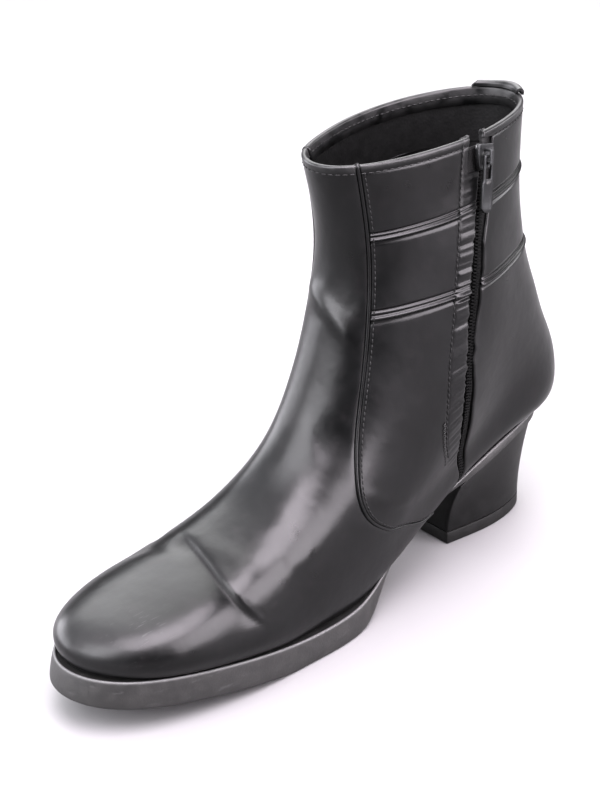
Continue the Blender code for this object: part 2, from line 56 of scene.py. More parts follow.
# The last: rings from the feather line up to the collar. droop is the share of the arched bottom that a ring
# follows; lateral and medial are half widths at heel back, heel, waist, ball and toe, 30 degrees apart.
Ring = namedtuple("Ring", "back_x back_z front_x front_z droop lateral medial")
RINGS = (
    Ring(10.0, 52.0, 278.0, 26.5, 1.00, (23.0, 31.0, 44.5, 41.5, 26.0), (21.8, 27.0, 34.6, 38.6, 27.9)),
    Ring(2.5, 59.0, 279.0, 35.0, 1.00, (26.5, 34.0, 46.0, 43.0, 27.5), (26.5, 29.0, 36.0, 41.5, 30.0)),
    Ring(0.0, 71.0, 266.0, 43.0, 0.80, (25.0, 31.5, 39.5, 35.5, 23.0), (27.5, 29.5, 36.5, 39.5, 28.5)),
    Ring(1.5, 86.0, 229.0, 50.5, 0.60, (21.5, 28.0, 31.5, 27.5, 18.0), (25.0, 30.5, 36.5, 37.0, 25.5)),
    Ring(9.0, 103.3, 184.5, 66.0, 0.30, (18.0, 26.0, 29.0, 24.5, 15.0), (23.5, 32.0, 38.0, 35.0, 22.5)),
    Ring(17.0, 121.7, 155.5, 94.5, 0.10, (16.5, 25.5, 30.0, 24.3, 14.3), (22.5, 33.0, 38.5, 32.8, 19.5)),
    Ring(23.5, 140.5, 139.5, 128.0, 0.00, (16.5, 26.7, 31.7, 25.1, 14.9), (21.0, 32.5, 37.7, 31.2, 18.8)),
    Ring(26.0, 160.0, 132.0, 154.5, 0.00, (16.3, 27.7, 31.7, 26.2, 15.4), (19.2, 30.4, 35.5, 29.2, 17.2)),
    Ring(24.0, 181.0, 132.5, 177.5, 0.00, (16.5, 28.0, 31.8, 26.6, 15.6), (16.7, 27.9, 31.7, 26.8, 15.7)),
    Ring(19.5, 205.0, 137.5, 201.0, 0.00, (16.4, 27.6, 31.5, 26.4, 15.5), (15.0, 25.2, 28.6, 24.2, 14.3)),
)
COLLAR = len(RINGS) - 1
RING_TABLE = np.array([r[:5] + r.lateral + r.medial for r in RINGS])

# Side profile of last and sole: share of the length, feather line, underside, how far the sole's top stands
# out from the feather line, and its bottom from its top.
Profile = namedtuple("Profile", "share feather tread ledge flare")
PROFILE = (
    Profile(0.000, 52.0, 47.6, 0.6, 0.0),
    Profile(0.067, 53.2, 48.7, 0.6, 0.0),
    Profile(0.250, 42.0, 36.8, 0.2, -1.5),
    Profile(0.370, 28.5, 21.5, -3.2, -8.0),
    Profile(0.460, 18.9, 6.5, -0.2, -3.0),
    Profile(0.520, 13.8, 0.6, 2.4, 0.5),
    Profile(0.570, 13.0, -0.4, 3.4, 0.9),
    Profile(0.670, 13.8, -0.4, 2.0, 0.4),
    Profile(0.750, 16.9, 3.0, 1.2, 0.7),
    Profile(0.933, 24.5, 11.2, 1.1, 1.2),
    Profile(1.000, 26.5, 14.0, 3.0, 3.0),
)
PROFILE_TABLE = np.array(PROFILE)

# Lines on the upper: ring level and degrees round.
Line = namedtuple("Line", "level turn")
FRONT_SEAM = (
    Line(0.0, 70.0), Line(0.9, 76.5), Line(1.8, 84.5), Line(2.9, 102.0), Line(3.9, 124.0), Line(4.8, 137.5),
    Line(5.4, 142.0), Line(6.5, 147.5), Line(7.7, 148.5), Line(9.0, 146.0),
)
# The zip: level, degrees round, and how far the leather's edges are behind and ahead of the chain.
Slit = namedtuple("Slit", "level turn rear front")
ZIP_LINE = (
    Slit(0.0, 62.3, 1.6, 1.6), Slit(1.0, 64.0, 1.9, 1.9), Slit(1.5, 65.4, 2.4, 2.4),
    Slit(2.5, 70.0, 3.6, 3.6), Slit(3.5, 77.5, 4.2, 4.2), Slit(4.0, 82.0, 4.3, 4.3),
    Slit(4.5, 85.7, 3.8, 3.8), Slit(5.0, 88.8, 2.5, 2.5), Slit(5.3, 89.8, 2.2, 2.2),
    Slit(6.0, 89.8, 3.6, 3.5), Slit(6.5, 89.0, 3.6, 3.6), Slit(7.0, 87.6, 3.2, 3.2),
    Slit(7.5, 85.6, 5.0, 2.7), Slit(8.0, 83.4, 7.2, 1.7), Slit(8.3, 82.1, 7.4, 1.0),
    Slit(9.0, 79.0, 7.0, 1.0),
)
# The front edge is cut back for the slider, and the rear edge comes forward over the chain's top: ring level,
# place of the edge, and levels that half the step takes.
NOTCH_LEVEL, NOTCH_FRONT, NOTCH_STEP = 8.38, 8.0, 0.03
RIM_TAB_LEVEL, RIM_TAB_REAR, RIM_TAB_STEP = 8.87, 0.6, 0.02
# Ripples of the slit's edges: height and millimetres a radian. The rear edge is tugged most at one level.
FRONT_RIPPLE, FRONT_RIPPLE_LENGTH = 0.22, 1.9
REAR_RIPPLE, REAR_RIPPLE_LENGTH = 0.2, 3.1
TUG, TUG_LENGTH, TUG_LEVEL, TUG_REACH = 0.7, 1.7, 5.1, 7.0
PLACKET_STITCH = (
    Line(2.6, 76.0), Line(3.1, 80.5), Line(4.0, 91.5), Line(4.6, 96.8), Line(5.2, 100.2), Line(5.9, 101.2),
    Line(6.6, 101.2), Line(7.4, 99.0), Line(8.55, 93.0), Line(9.0, 90.5),
)
BAND_SEAMS = (6.25, 7.60)
BAND_LIFT, LIFT_FOOT = 0.34, 6.4  # the upper band is higher at the back; nothing below rises with it

BAND_PITCH = 20.0  # millimetres a level near the bands
# Across a band, from its top: groove, low ridge, valley, high ridge and groove.
Ridge = namedtuple("Ridge", "place rise width")
BAND_SHAPE = (
    Ridge(1.65, -0.80, 0.45), Ridge(0.95, 0.12, 0.40), Ridge(0.20, -0.50, 0.38), Ridge(-0.75, 0.85, 0.55),
    Ridge(-1.95, -0.45, 0.65),
)

# Leather
LEATHER = 0.8  # thickness of the hide
Roll = namedtuple("Roll", "radius sweep tuck")
RIM_ROLL = Roll(1.2, math.pi, 6.5)  # turned in over the collar
FEATHER_ROLL = Roll(1.5, math.pi / 2, 4.0)  # turned under onto the insole
SEAM_ROLL = Roll(0.85, math.pi / 2, 0.5)  # turned down beside the piping
ZIP_ROLL = Roll(0.9, math.pi, 2.6)  # turned in along the zip
FOOT_LEVEL, RIM_LEVEL = 0.15, 8.95  # levels between which the leather lies flat on the last
SEAM_HALF = 0.75  # from the seam line to the edge beside the piping
PIPING_RADIUS, PIPING_SUNK = 0.75, 0.30
STITCH_DROP = 3.6  # from the collar's edge to its stitch row
STITCH_PULL, STITCH_PULL_WIDTH = 0.22, 0.7  # how far that row pulls the leather in
SEAM_DIP, SEAM_DIP_WIDTH = 0.35, 1.5  # how far the leather goes down towards a piped seam
# How worn the leather is at an edge, and how far that reaches: levels at the collar, otherwise millimetres.
RIM_WEAR, RIM_WEAR_REACH = 0.6, 0.05
FRONT_WEAR, FRONT_WEAR_REACH = 0.5, 1.2
SEAM_WEAR, SEAM_WEAR_REACH = 0.4, 1.5
# Along the zip the pale edge is wear and a painted highlight of the rolled-in edge.
ZIP_WEAR_AND_SHEEN_REACH = 0.8

# Zip
GAP = 0.3
CHAIN_TOP = -0.5
SLIDER_LEVEL = 8.60
SLIDER_WIDTH, SLIDER_LENGTH, SLIDER_THICK = 9.4, 10.4, 2.4
BRIDGE_WIDTH, BRIDGE_LENGTH, BRIDGE_RISE, BRIDGE_THICK = 2.0, 6.4, 3.4, 1.0
AXIS_HEIGHT = SLIDER_THICK + (BRIDGE_RISE - BRIDGE_THICK) / 2
TAB_THICK = 1.3
TAB_EYE_WIDTH, TAB_EYE_LENGTH = 3.4, 8.6
TAB_HEAD_WIDTH, TAB_FOOT_WIDTH, TAB_LENGTH = 5.6, 6.8, 24.0
TAB_NECK, TAB_SHOULDER, TAB_TIP_CORNER = 0.9, 1.0, 1.8

# Creases on the last, along lines marked in the photo, and guessed on the outer side. depth is a
# trough's, and below 0 a ridge's height; width is from the middle to where it has nearly gone; flex says how
# much fine wrinkling goes with it; ahead is the width on the toe's side of a lopsided one.
Crease = namedtuple("Crease", "name depth width flex path ahead", defaults=(None,))
CREASES = (
    Crease("toe break", 2.3, 1.25, 1.0,
           ((208.0, -15.0, 53.5), (212.1, -3.9, 54.7), (214.7, 7.0, 53.8), (216.3, 15.3, 52.4),
            (218.0, 23.9, 50.2), (218.2, 30.9, 47.1), (217.0, 35.9, 42.9), (214.0, 38.8, 37.8),
            (210.8, 40.3, 33.3), (206.0, 41.5, 27.0)), 7.0),
    Crease("dip ahead of the break", 0.8, 5.5, 0.6,
           ((229.0, -33.0, 39.0), (222.0, -20.0, 48.5), (217.0, -6.0, 53.2), (214.0, 8.0, 54.0))),
    Crease("second line of the break", 0.3, 0.9, 0.6,
           ((214.7, 33.6, 45.2), (212.0, 37.2, 40.5), (208.0, 40.4, 33.5))),
    Crease("fold behind the break", -0.35, 5.0, 0.5,
           ((207.0, -9.0, 55.2), (208.1, 12.5, 55.0), (206.5, 21.5, 53.8), (207.4, 29.7, 49.6),
            (207.7, 37.6, 41.6))),
    Crease("instep fold", -0.5, 7.0, 0.3,
           ((163.0, 17.5, 77.0), (173.6, 20.9, 67.6), (183.3, 23.2, 61.6), (193.0, 26.2, 56.2))),
    Crease("quarter's lower corner", -0.6, 3.4, 0.2,
           ((148.0, 35.5, 67.0), (142.6, 36.8, 62.6), (132.5, 37.8, 56.4), (122.7, 37.0, 53.2),
            (116.0, 36.0, 51.5))),
    Crease("inner fold", -0.4, 6.0, 0.5,
           ((193.0, 33.8, 50.5), (184.5, 35.6, 50.1), (176.0, 37.0, 49.0))),
    Crease("inner hollow", 0.2, 7.0, 0.4,
           ((183.0, 27.0, 59.0), (172.0, 28.0, 62.5), (160.0, 27.8, 69.5))),
    Crease("ankle fold", -1.3, 3.8, 0.2,
           ((124.0, -20.0, 143.0), (131.4, -10.6, 142.7), (135.1, -2.1, 140.6), (135.8, 4.2, 137.3),
            (135.6, 9.9, 133.1), (134.9, 14.2, 129.2), (134.2, 17.2, 125.6), (131.5, 21.5, 119.5))),
    Crease("hollow over the ankle fold", 0.3, 8.0, 0.1,
           ((131.5, 1.0, 152.0), (132.0, 10.0, 144.5), (130.0, 18.0, 139.0))),
    Crease("instep hollow", 0.7, 8.0, 0.2,
           ((157.0, 14.0, 85.0), (151.5, 19.0, 89.0), (146.0, 22.5, 95.0))),
    Crease("heel fold", 1.0, 5.0, 0.2,
           ((24.0, 18.0, 137.0), (19.5, 4.0, 135.0), (20.5, -12.0, 136.0), (34.0, -24.0, 138.0))),
    Crease("outer ankle fold", 0.9, 5.0, 0.2,
           ((95.0, -31.0, 128.0), (112.0, -27.0, 121.0), (128.0, -19.0, 117.0))),
    Crease("outer toe break", 0.9, 3.0, 0.6,
           ((214.0, -21.0, 48.0), (208.0, -29.0, 43.0), (200.0, -34.5, 37.5))),
)
CREASE_SAMPLES = 200
CREASE_FADE = 0.3  # share of a crease's length over which each end fades
FLEX_REACH = 7.0  # how far the fine wrinkling goes past a crease
SHARP_WIDTH = 1.5  # creases narrower than this are cut to a point
SHARP_POWER, SOFT_POWER = 1.15, 2.0

# How strongly the strip ahead of the zip is puckered, by ring level.
Pucker = namedtuple("Pucker", "level strength")
PUCKERS = (
    Pucker(0.0, 0.0), Pucker(2.0, 0.15), Pucker(4.0, 0.6), Pucker(5.2, 0.8), Pucker(5.8, 0.9),
    Pucker(6.2, 1.1), Pucker(6.7, 0.8), Pucker(7.4, 0.55), Pucker(7.7, 0.15), Pucker(9.0, 0.0),
)
PUCKER_HEIGHT, PUCKER_RISE = 1.5, 0.15
# The strip's waves along the zip: height, millimetres a radian, start, and the start's sway over a length.
Ripple = namedtuple("Ripple", "height length start sway sway_length")
RIPPLES = (
    Ripple(0.30, 0.62, 0.0, 1.3, 3.1), Ripple(0.20, 0.41, 0.7, 0.8, 5.3), Ripple(0.22, 1.35, 2.0, 0.0, 1.0),
)
PLACKET_ROW, PLACKET_ROW_WIDTH = 0.32, 0.8  # how far the strip's stitch row pulls the leather in
BANDS_ON_STRIP = 0.55  # share of the bands' relief that crosses the strip
STRIP_FLEX = 0.6
# Start and end of fades: millimetres from the stitch row or from the zip's edge, or ring levels.
PUCKER_FADE, PUCKER_START, ROW_START = (1.8, -4.0), (-0.5, 1.0), (2.6, 3.4)
BANDS_FADE, FLEX_FADE = (-1.5, 0.5), (1.0, -2.0)


# Curves through table values

def natural_spline(knots, values, at):
    """Cubic through the values with straight ends; values may have columns."""
    knots = np.asarray(knots, float)
    values = np.asarray(values, float)
    steps = np.diff(knots)
    count = len(knots)
    system = np.eye(count)
    right = np.zeros_like(values)
    for i in range(1, count - 1):
        system[i, i - 1:i + 2] = steps[i - 1], 2 * (steps[i - 1] + steps[i]), steps[i]
        right[i] = 6 * ((values[i + 1] - values[i]) / steps[i] - (values[i] - values[i - 1]) / steps[i - 1])
    bends = np.linalg.solve(system, right)
    at = np.asarray(at, float)
    cell = np.clip(np.searchsorted(knots, at, side="right") - 1, 0, count - 2)
    width = steps[cell]
    left = (knots[cell + 1] - at) / width
    across = 1 - left
    if values.ndim > 1:
        left, across, width = left[..., None], across[..., None], width[..., None]
    cubic = (left ** 3 - left) * bends[cell] + (across ** 3 - across) * bends[cell + 1]
    return left * values[cell] + across * values[cell + 1] + cubic * width ** 2 / 6


def closed_spline(values, turn):
    """Cubic through equally spaced values round a ring, each point with its own ring; turn is in radians."""
    count = values.shape[-1]
    step = 2 * math.pi / count
    unit = np.eye(count)
    system = step * (4 * unit + np.roll(unit, 1, 1) + np.roll(unit, -1, 1)) / 6
    second = np.linalg.solve(system, (np.roll(unit, -1, 0) - 2 * unit + np.roll(unit, 1, 0)) / step)
    bends = values @ second.T
    place = np.mod(turn, 2 * math.pi) / step
    cell = np.minimum(place.astype(int), count - 1)
    after = (cell + 1) % count
    across = place - cell
    left = 1 - across

    def at(table, index):
        return np.take_along_axis(table, index[..., None], -1)[..., 0]

    cubic = (left ** 3 - left) * at(bends, cell) + (across ** 3 - across) * at(bends, after)
    return left * at(values, cell) + across * at(values, after) + cubic * step ** 2 / 6


def line_turn(line, level):
    """Radians round at which a line on the upper crosses a ring level."""
    return np.radians(natural_spline([p.level for p in line], [p.turn for p in line], level))


def smooth(value, start, end):
    """0 at start and 1 at end, with soft ends."""
    share = np.clip((np.asarray(value, float) - start) / (end - start), 0, 1)
    return share * share * (3 - 2 * share)


def spaced(stops):
    """Values along stops, each with the number of cells to the next."""
    parts = []
    for (start, cells), (end, _) in zip(stops, stops[1:]):
        parts.append(start + (end - start) * np.arange(cells) / cells)
    return np.concatenate(parts + [[stops[-1][0]]])


# The last

def profile(name, share):
    column = Profile._fields.index(name)
    return natural_spline(PROFILE_TABLE[:, 0], PROFILE_TABLE[:, column], share)


def share_at(x):
    """Share of the feather line's length at a place along X."""
    return (np.asarray(x) - RINGS[0].back_x) / (RINGS[0].front_x - RINGS[0].back_x)


def feather_z(x):
    return profile("feather", share_at(x))


def tread_z(x):
    """Underside of the sole; it lies flat on the floor under the ball."""
    return np.maximum(profile("tread", share_at(x)), 0.0)


def last_point(level, turn):
    level, turn = np.broadcast_arrays(np.asarray(level, float), np.asarray(turn, float))
    row = natural_spline(np.arange(len(RINGS)), RING_TABLE, level)
    back_x, back_z, front_x, front_z, droop = np.moveaxis(row[..., :5], -1, 0)
    none = np.zeros(row.shape[:-1] + (1,))
    widths = np.concatenate([none, row[..., 10:15], none, -row[..., 9:4:-1]], -1)
    share = (1 - np.cos(turn)) / 2
    heel, toe = PROFILE[0].feather, PROFILE[-1].feather
    arch = profile("feather", share) - (heel + (toe - heel) * share)
    x = back_x + (front_x - back_x) * share
    z = back_z + (front_z - back_z) * share + droop * arch
    return np.stack([x, closed_spline(widths, turn), z], -1)


NUDGE = 0.004  # step in levels and radians for finding directions
PLAN_NUDGE = 0.01


def unit(vectors):
    return vectors / np.linalg.norm(vectors, axis=-1, keepdims=True)


def step_round(level, turn):
    return last_point(level, turn + NUDGE) - last_point(level, turn - NUDGE)


def step_up(level, turn):
    """A small step up the boot and the levels it takes; it stops at the first and last ring."""
    top, foot = np.minimum(level + NUDGE, COLLAR), np.maximum(level - NUDGE, 0)
    return last_point(top, turn) - last_point(foot, turn), top - foot


def last_axes(level, turn):
    """Unit vectors on the last: round the ring, up the boot, and outwards."""
    around = step_round(level, turn)
    outward = unit(np.cross(step_up(level, turn)[0], around))
    around = unit(around)
    return around, np.cross(around, outward), outward


def turn_per_mm(level, turn):
    """Radians round the ring for a millimetre along it."""
    return 2 * NUDGE / np.linalg.norm(step_round(level, turn), axis=-1)


def mm_per_level(level, turn):
    rise, levels = step_up(level, turn)
    return np.linalg.norm(rise, axis=-1) / levels


def beside(line, level, offset):
    """Turn at some millimetres round from a line on the upper."""
    return line(level) + offset * turn_per_mm(level, line(level))


def from_line(level, turn, line):
    """Millimetres round from a line on the upper."""
    base = line(level)
    return (turn - base) / turn_per_mm(level, base)


def set_out(level, turn, out):
    """Places on the last, moved outwards by some millimetres."""
    return last_point(level, turn) + last_axes(level, turn)[2] * np.asarray(out)[..., None]


def lifted(level, turn):
    """Levels of a row at each turn: rows near the upper band rise with it towards the heel's back."""
    near = np.interp(level, (LIFT_FOOT, BAND_SEAMS[1], COLLAR), (0.0, 1.0, 0.0))
    return level + BAND_LIFT * near * (1 + np.cos(turn)) / 2


def row_at(level, turn):
    """The row that lifted() takes to a level."""
    seam = BAND_SEAMS[1] + BAND_LIFT * (1 + np.cos(turn)) / 2
    below = LIFT_FOOT + (level - LIFT_FOOT) * (BAND_SEAMS[1] - LIFT_FOOT) / (seam - LIFT_FOOT)
    above = COLLAR - (COLLAR - level) * (COLLAR - BAND_SEAMS[1]) / (COLLAR - seam)
    return np.where(level < LIFT_FOOT, level, np.where(level < seam, below, above))


def feather_ring(turns, out):
    """The feather line in plan, set outwards."""
    along = last_point(0.0, turns + PLAN_NUDGE) - last_point(0.0, turns - PLAN_NUDGE)
    normal = unit(np.stack([-along[..., 1], along[..., 0]], -1))
    return last_point(0.0, turns)[..., :2] + normal * np.asarray(out)[..., None]


def zip_turn(level):
    return line_turn(ZIP_LINE, level)


def zip_point(level):
    return last_point(level, zip_turn(level))


def path_run(points):
    """Millimetres along a path at each of its points."""
    return np.concatenate([[0], np.cumsum(np.linalg.norm(np.diff(points, axis=0), axis=1))])


ZIP_LEVELS = np.linspace(0, COLLAR, 400)
ZIP_RUN = path_run(zip_point(ZIP_LEVELS))


def zip_run(level):
    """Millimetres along the zip from the feather line."""
    return np.interp(level, ZIP_LEVELS, ZIP_RUN)


def zip_level(run):
    return np.interp(run, ZIP_RUN, ZIP_LEVELS)


SLIDER_REACH = 0.2  # levels each way that set the slider's direction along the chain


def slider_axes():
    """The slider's axes, round, along the chain and outwards, and its place on the chain's face."""
    level = np.array(SLIDER_LEVEL)
    _, _, outward = last_axes(level, zip_turn(level))
    up = zip_point(level + SLIDER_REACH) - zip_point(level - SLIDER_REACH)
    up = unit(up - outward * (up @ outward))
    return np.cross(up, outward), up, outward, zip_point(level) + outward * (CHAIN_TOP + GAP)


SLIDER_ROUND, SLIDER_UP, SLIDER_OUT, SLIDER_PLACE = slider_axes()
HINGE = np.array(frame["joints"][0]["pos_m"]) / MM
SHIFT = HINGE - (SLIDER_PLACE + SLIDER_OUT * AXIS_HEIGHT)


# Relief of the leather, in millimetres outwards

def path_distance(points, path):
    """Distance to a curve through a path, share of the way along it, and whether on the toe's side."""
    knots = np.linspace(0, 1, len(path))
    along = np.linspace(0, 1, CREASE_SAMPLES)
    curve = natural_spline(knots, path, along)
    flat = points.reshape(-1, 3)
    nearest = np.full(len(flat), np.inf)
    sample = np.zeros(len(flat), int)
    for index, place in enumerate(curve):
        distance = ((flat - place) ** 2).sum(-1)
        closer = distance < nearest
        nearest[closer] = distance[closer]
        sample[closer] = index
    shape = points.shape[:-1]
    toe_side = flat[:, 0] > curve[sample, 0]
    return np.sqrt(nearest).reshape(shape), along[sample].reshape(shape), toe_side.reshape(shape)


def crease_relief(points):
    """Relief of all creases, how much fine wrinkling there is, and where a crease is a crack."""
    relief, flex, crack = np.zeros((3,) + points.shape[:-1])
    for crease in CREASES:
        distance, share, toe_side = path_distance(points, crease.path)
        fade = smooth(share, 0.0, CREASE_FADE) * smooth(share, 1.0, 1 - CREASE_FADE)
        power = SOFT_POWER
        if crease.width < SHARP_WIDTH:
            power = SHARP_POWER
            crack += fade * np.exp(-(distance / crease.width) ** 2)
        width = np.where(toe_side, crease.ahead or crease.width, crease.width)
        relief -= crease.depth * fade * np.exp(-(distance / width) ** power)
        flex += crease.flex * np.exp(-(distance / (crease.width + FLEX_REACH)) ** 2)
    return relief, np.clip(flex, 0, 1), np.clip(crack, 0, 1)


def slack(points):
    """The slight unevenness of worn leather: long low waves."""
    x, y, z = np.moveaxis(points, -1, 0)
    return (0.16 * np.sin(x / 9.0 + y / 14.0 + 0.6) * np.sin(z / 11.0 - x / 23.0 + 1.1)
            + 0.10 * np.sin(y / 6.5 - z / 8.0 + 2.0) * np.sin(x / 12.0 + z / 17.0))


def band_relief(level, turn):
    """The raised seams round the side panels: two thin ridges between grooves."""
    row = row_at(level, turn)
    relief = np.zeros(np.shape(row))
    for band in BAND_SEAMS:
        height = (row - band) * BAND_PITCH
        for place, rise, width in BAND_SHAPE:
            relief += rise * np.exp(-((height - place) / width) ** 2)
    return relief


def rim_relief(level, turn):
    """The collar's stitch row pulls the leather in."""
    drop = (COLLAR - level) * mm_per_level(level, turn)
    return -STITCH_PULL * np.exp(-((drop - STITCH_DROP) / STITCH_PULL_WIDTH) ** 2)


def rim_wear(level):
    """How worn the leather is near the collar's edge."""
    return RIM_WEAR * smooth(level, RIM_LEVEL - RIM_WEAR_REACH, RIM_LEVEL)


def seam_dip(distance):
    """Leather pulled down towards a piped seam."""
    return -SEAM_DIP * np.exp(-(np.maximum(distance, 0) / SEAM_DIP_WIDTH) ** 2)


def slit(level, edge):
    """Millimetres from the chain to the leather's rear or front edge."""
    column = Slit._fields.index(edge)
    levels, reaches = np.transpose(ZIP_LINE)[[0, column]]
    return np.interp(level, levels, reaches)


def step_at(level, middle, half):
    """0 below a level and 1 above it, over a short step."""
    return smooth(level, middle - half, middle + half)


def front_jog(level):
    """How far the front edge steps back for the slider."""
    return (NOTCH_FRONT - slit(level, "front")) * step_at(level, NOTCH_LEVEL, NOTCH_STEP)


def rear_jog(level):
    """How far the rear edge steps forward over the chain's top."""
    return (slit(level, "rear") - RIM_TAB_REAR) * step_at(level, RIM_TAB_LEVEL, RIM_TAB_STEP)


def pucker(level):
    return np.interp(level, *np.transpose(PUCKERS))


def zip_front_edge(level):
    ripple = FRONT_RIPPLE * np.sin(zip_run(level) / FRONT_RIPPLE_LENGTH + 0.6)
    return slit(level, "front") + ripple * pucker(level)


def zip_rear_edge(level):
    run = zip_run(level) - zip_run(TUG_LEVEL)
    tug = TUG * np.sin(run / TUG_LENGTH) * np.exp(-(run / TUG_REACH) ** 2)
    return slit(level, "rear") + tug + REAR_RIPPLE * np.sin(run / REAR_RIPPLE_LENGTH + 1.0)


def front_edge_turn(level):
    return beside(zip_turn, level, zip_front_edge(level) + front_jog(level))


def rear_edge_turn(level):
    return beside(zip_turn, level, rear_jog(level) - zip_rear_edge(level))


def medial_seam(level):
    return line_turn(FRONT_SEAM, level)


def lateral_seam(level):
    return -line_turn(FRONT_SEAM, level)


def placket_stitch(level):
    return line_turn(PLACKET_STITCH, level)


def panel_relief(level, turn, to_seam):
    """What every panel has: creases, long waves, collar's stitch row and piped seam; with flex and cracks."""
    points = last_point(level, turn)
    relief, flex, crack = crease_relief(points)
    return relief + slack(points) + rim_relief(level, turn) + seam_dip(to_seam), flex, crack


def fade_from_edge(distance, reach):
    """1 at an edge of the leather, falling off over a reach."""
    return np.exp(-np.maximum(distance, 0) / reach)


def side_wear_and_sheen(level, to_seam, to_zip):
    """How worn a side panel is at its piped seam and at the collar, and how pale along the zip, where it is
    also a painted highlight.
    """
    at_seam = SEAM_WEAR * fade_from_edge(to_seam, SEAM_WEAR_REACH)
    # Along the zip at full strength: wear and a painted highlight of the rolled edge.
    return at_seam + fade_from_edge(to_zip, ZIP_WEAR_AND_SHEEN_REACH) + rim_wear(level)


def front_relief(level, turn):
    inside = np.mod(turn, 2 * math.pi)
    nearest = np.minimum(from_line(level, inside, medial_seam),
                         -from_line(level, inside, lambda at: lateral_seam(at) + 2 * math.pi))
    relief, flex, crack = panel_relief(level, turn, nearest)
    return relief, flex, FRONT_WEAR * fade_from_edge(nearest, FRONT_WEAR_REACH) + rim_wear(level), crack


def back_relief(level, turn):
    to_seam = from_line(level, turn, lateral_seam)
    to_zip = -from_line(level, turn, rear_edge_turn)
    relief, flex, crack = panel_relief(level, turn, to_seam)
    edge = side_wear_and_sheen(level, to_seam, to_zip)
    return relief + band_relief(level, turn), flex, edge, crack


def placket_relief(level, ahead, to_stitch):
    """Puckers across the strip between the zip and its stitch row."""
    run = zip_run(level)
    wave = PUCKER_RISE
    for ripple in RIPPLES:
        sway = ripple.sway * np.sin(run / ripple.sway_length)
        wave = wave + ripple.height * np.sin(run / ripple.length + ripple.start + sway)
    reach = smooth(to_stitch, *PUCKER_FADE) * smooth(ahead, *PUCKER_START)
    row = -PLACKET_ROW * np.exp(-(to_stitch / PLACKET_ROW_WIDTH) ** 2) * smooth(level, *ROW_START)
    return PUCKER_HEIGHT * pucker(level) * reach * wave + row


def zip_quarter_relief(level, turn):
    ahead = from_line(level, turn, front_edge_turn)
    to_seam = -from_line(level, turn, medial_seam)
    to_stitch = from_line(level, turn, placket_stitch)
    relief, flex, crack = panel_relief(level, turn, to_seam)
    past_strip = BANDS_ON_STRIP + (1 - BANDS_ON_STRIP) * smooth(to_stitch, *BANDS_FADE)
    relief += band_relief(level, turn) * past_strip + placket_relief(level, ahead, to_stitch)
    edge = side_wear_and_sheen(level, to_seam, ahead)
    return relief, flex + STRIP_FLEX * smooth(to_stitch, *FLEX_FADE), edge, crack


# Modelling

def only(piece):
    """Select one piece and make it active."""
    bpy.ops.object.select_all(action="DESELECT")
    piece.select_set(True)
    bpy.context.view_layer.objects.active = piece


def named(name):
    piece = bpy.context.object
    piece.name = piece.data.name = name
    return piece


def shaped_grid(name, points):
    """A grid with its points moved to rows by columns of places on the last."""
    rows, columns = points.shape[:2]
    bpy.ops.object.select_all(action="DESELECT")
    bpy.ops.mesh.primitive_grid_add(x_subdivisions=columns - 1, y_subdivisions=rows - 1, size=1.0)
    piece = named(name)
    piece.data.vertices.foreach_set("co", ((points + SHIFT) * MM).astype(np.float32).ravel())
    piece.data.update()
    return piece


def store(piece, name, values):
    """Keep a number for each point, for the finish to read."""
    attribute = piece.data.attributes.new(name, "FLOAT", "POINT")
    attribute.data.foreach_set("value", np.asarray(values, np.float32).ravel())


def edit(piece, *steps):
    """Run edit-mode operators on the whole piece."""
    only(piece)
    bpy.ops.object.mode_set(mode="EDIT")
    bpy.ops.mesh.select_all(action="SELECT")
    for operator, settings in steps:
        operator(**settings)
    bpy.ops.object.mode_set(mode="OBJECT")


def apply(piece, kind, **settings):
    """Add a modifier and apply it."""
    modifier = piece.modifiers.new(kind.lower(), kind)
    for key, value in settings.items():
        setattr(modifier, key, value)
    only(piece)
    bpy.ops.object.modifier_apply(modifier=modifier.name)


def shade(piece, angle=None):
    only(piece)
    if angle is None:
        bpy.ops.object.shade_smooth()
    else:
        bpy.ops.object.shade_smooth_by_angle(angle=math.radians(angle))


MERGE = 0.00001  # metres
SOFT_ANGLE, BEVEL_ANGLE = 50.0, 40.0  # degrees from which an edge is drawn sharp


def close(piece):
    """Merge points that meet, fill open ends and turn the faces outwards."""
    edit(piece, (bpy.ops.mesh.remove_doubles, {"threshold": MERGE}), (bpy.ops.mesh.fill_holes, {"sides": 0}),
         (bpy.ops.mesh.normals_make_consistent, {"inside": False}))


def thicken(piece, thickness):
    """Turn an open surface's faces outwards and give it a wall inwards."""
    edit(piece, (bpy.ops.mesh.flip_normals, {}))
    apply(piece, "SOLIDIFY", thickness=thickness * MM, offset=-1.0)


def repeated(name, pattern, places):
    """Copies of a small pattern piece at each place, joined into one piece; the pattern goes."""
    corners = np.array([v.co for v in pattern.data.vertices])
    faces = [tuple(p.vertices) for p in pattern.data.polygons]
    turned = np.einsum("nij,kj->nki", places[:, :3, :3], corners) + places[:, None, :3, 3]
    mesh = bpy.data.meshes.new(name)
    count = len(corners)
    mesh.from_pydata(turned.reshape(-1, 3).tolist(), [],
                     [tuple(i + k * count for i in face) for k in range(len(places)) for face in faces])
    bpy.data.objects.remove(pattern)
    piece = bpy.data.objects.new(name, mesh)
    bpy.context.scene.collection.objects.link(piece)
    return piece


def placed(points, along, outward):
    """Matrices, in metres, with Y along a path and Z outwards."""
    across = unit(np.cross(along, outward))
    along = unit(np.cross(outward, across))
    places = np.tile(np.eye(4), (len(points), 1, 1))
    places[:, :3, 0], places[:, :3, 1], places[:, :3, 2] = across, along, outward
    places[:, :3, 3] = (points + SHIFT) * MM
    return places


def walk(level, turn, pitch):
    """Levels and turns at equal steps along a path on the upper."""
    run = path_run(last_point(level, turn))
    at = np.arange(pitch / 2, run[-1], pitch)
    return np.interp(at, run, level), np.interp(at, run, turn)


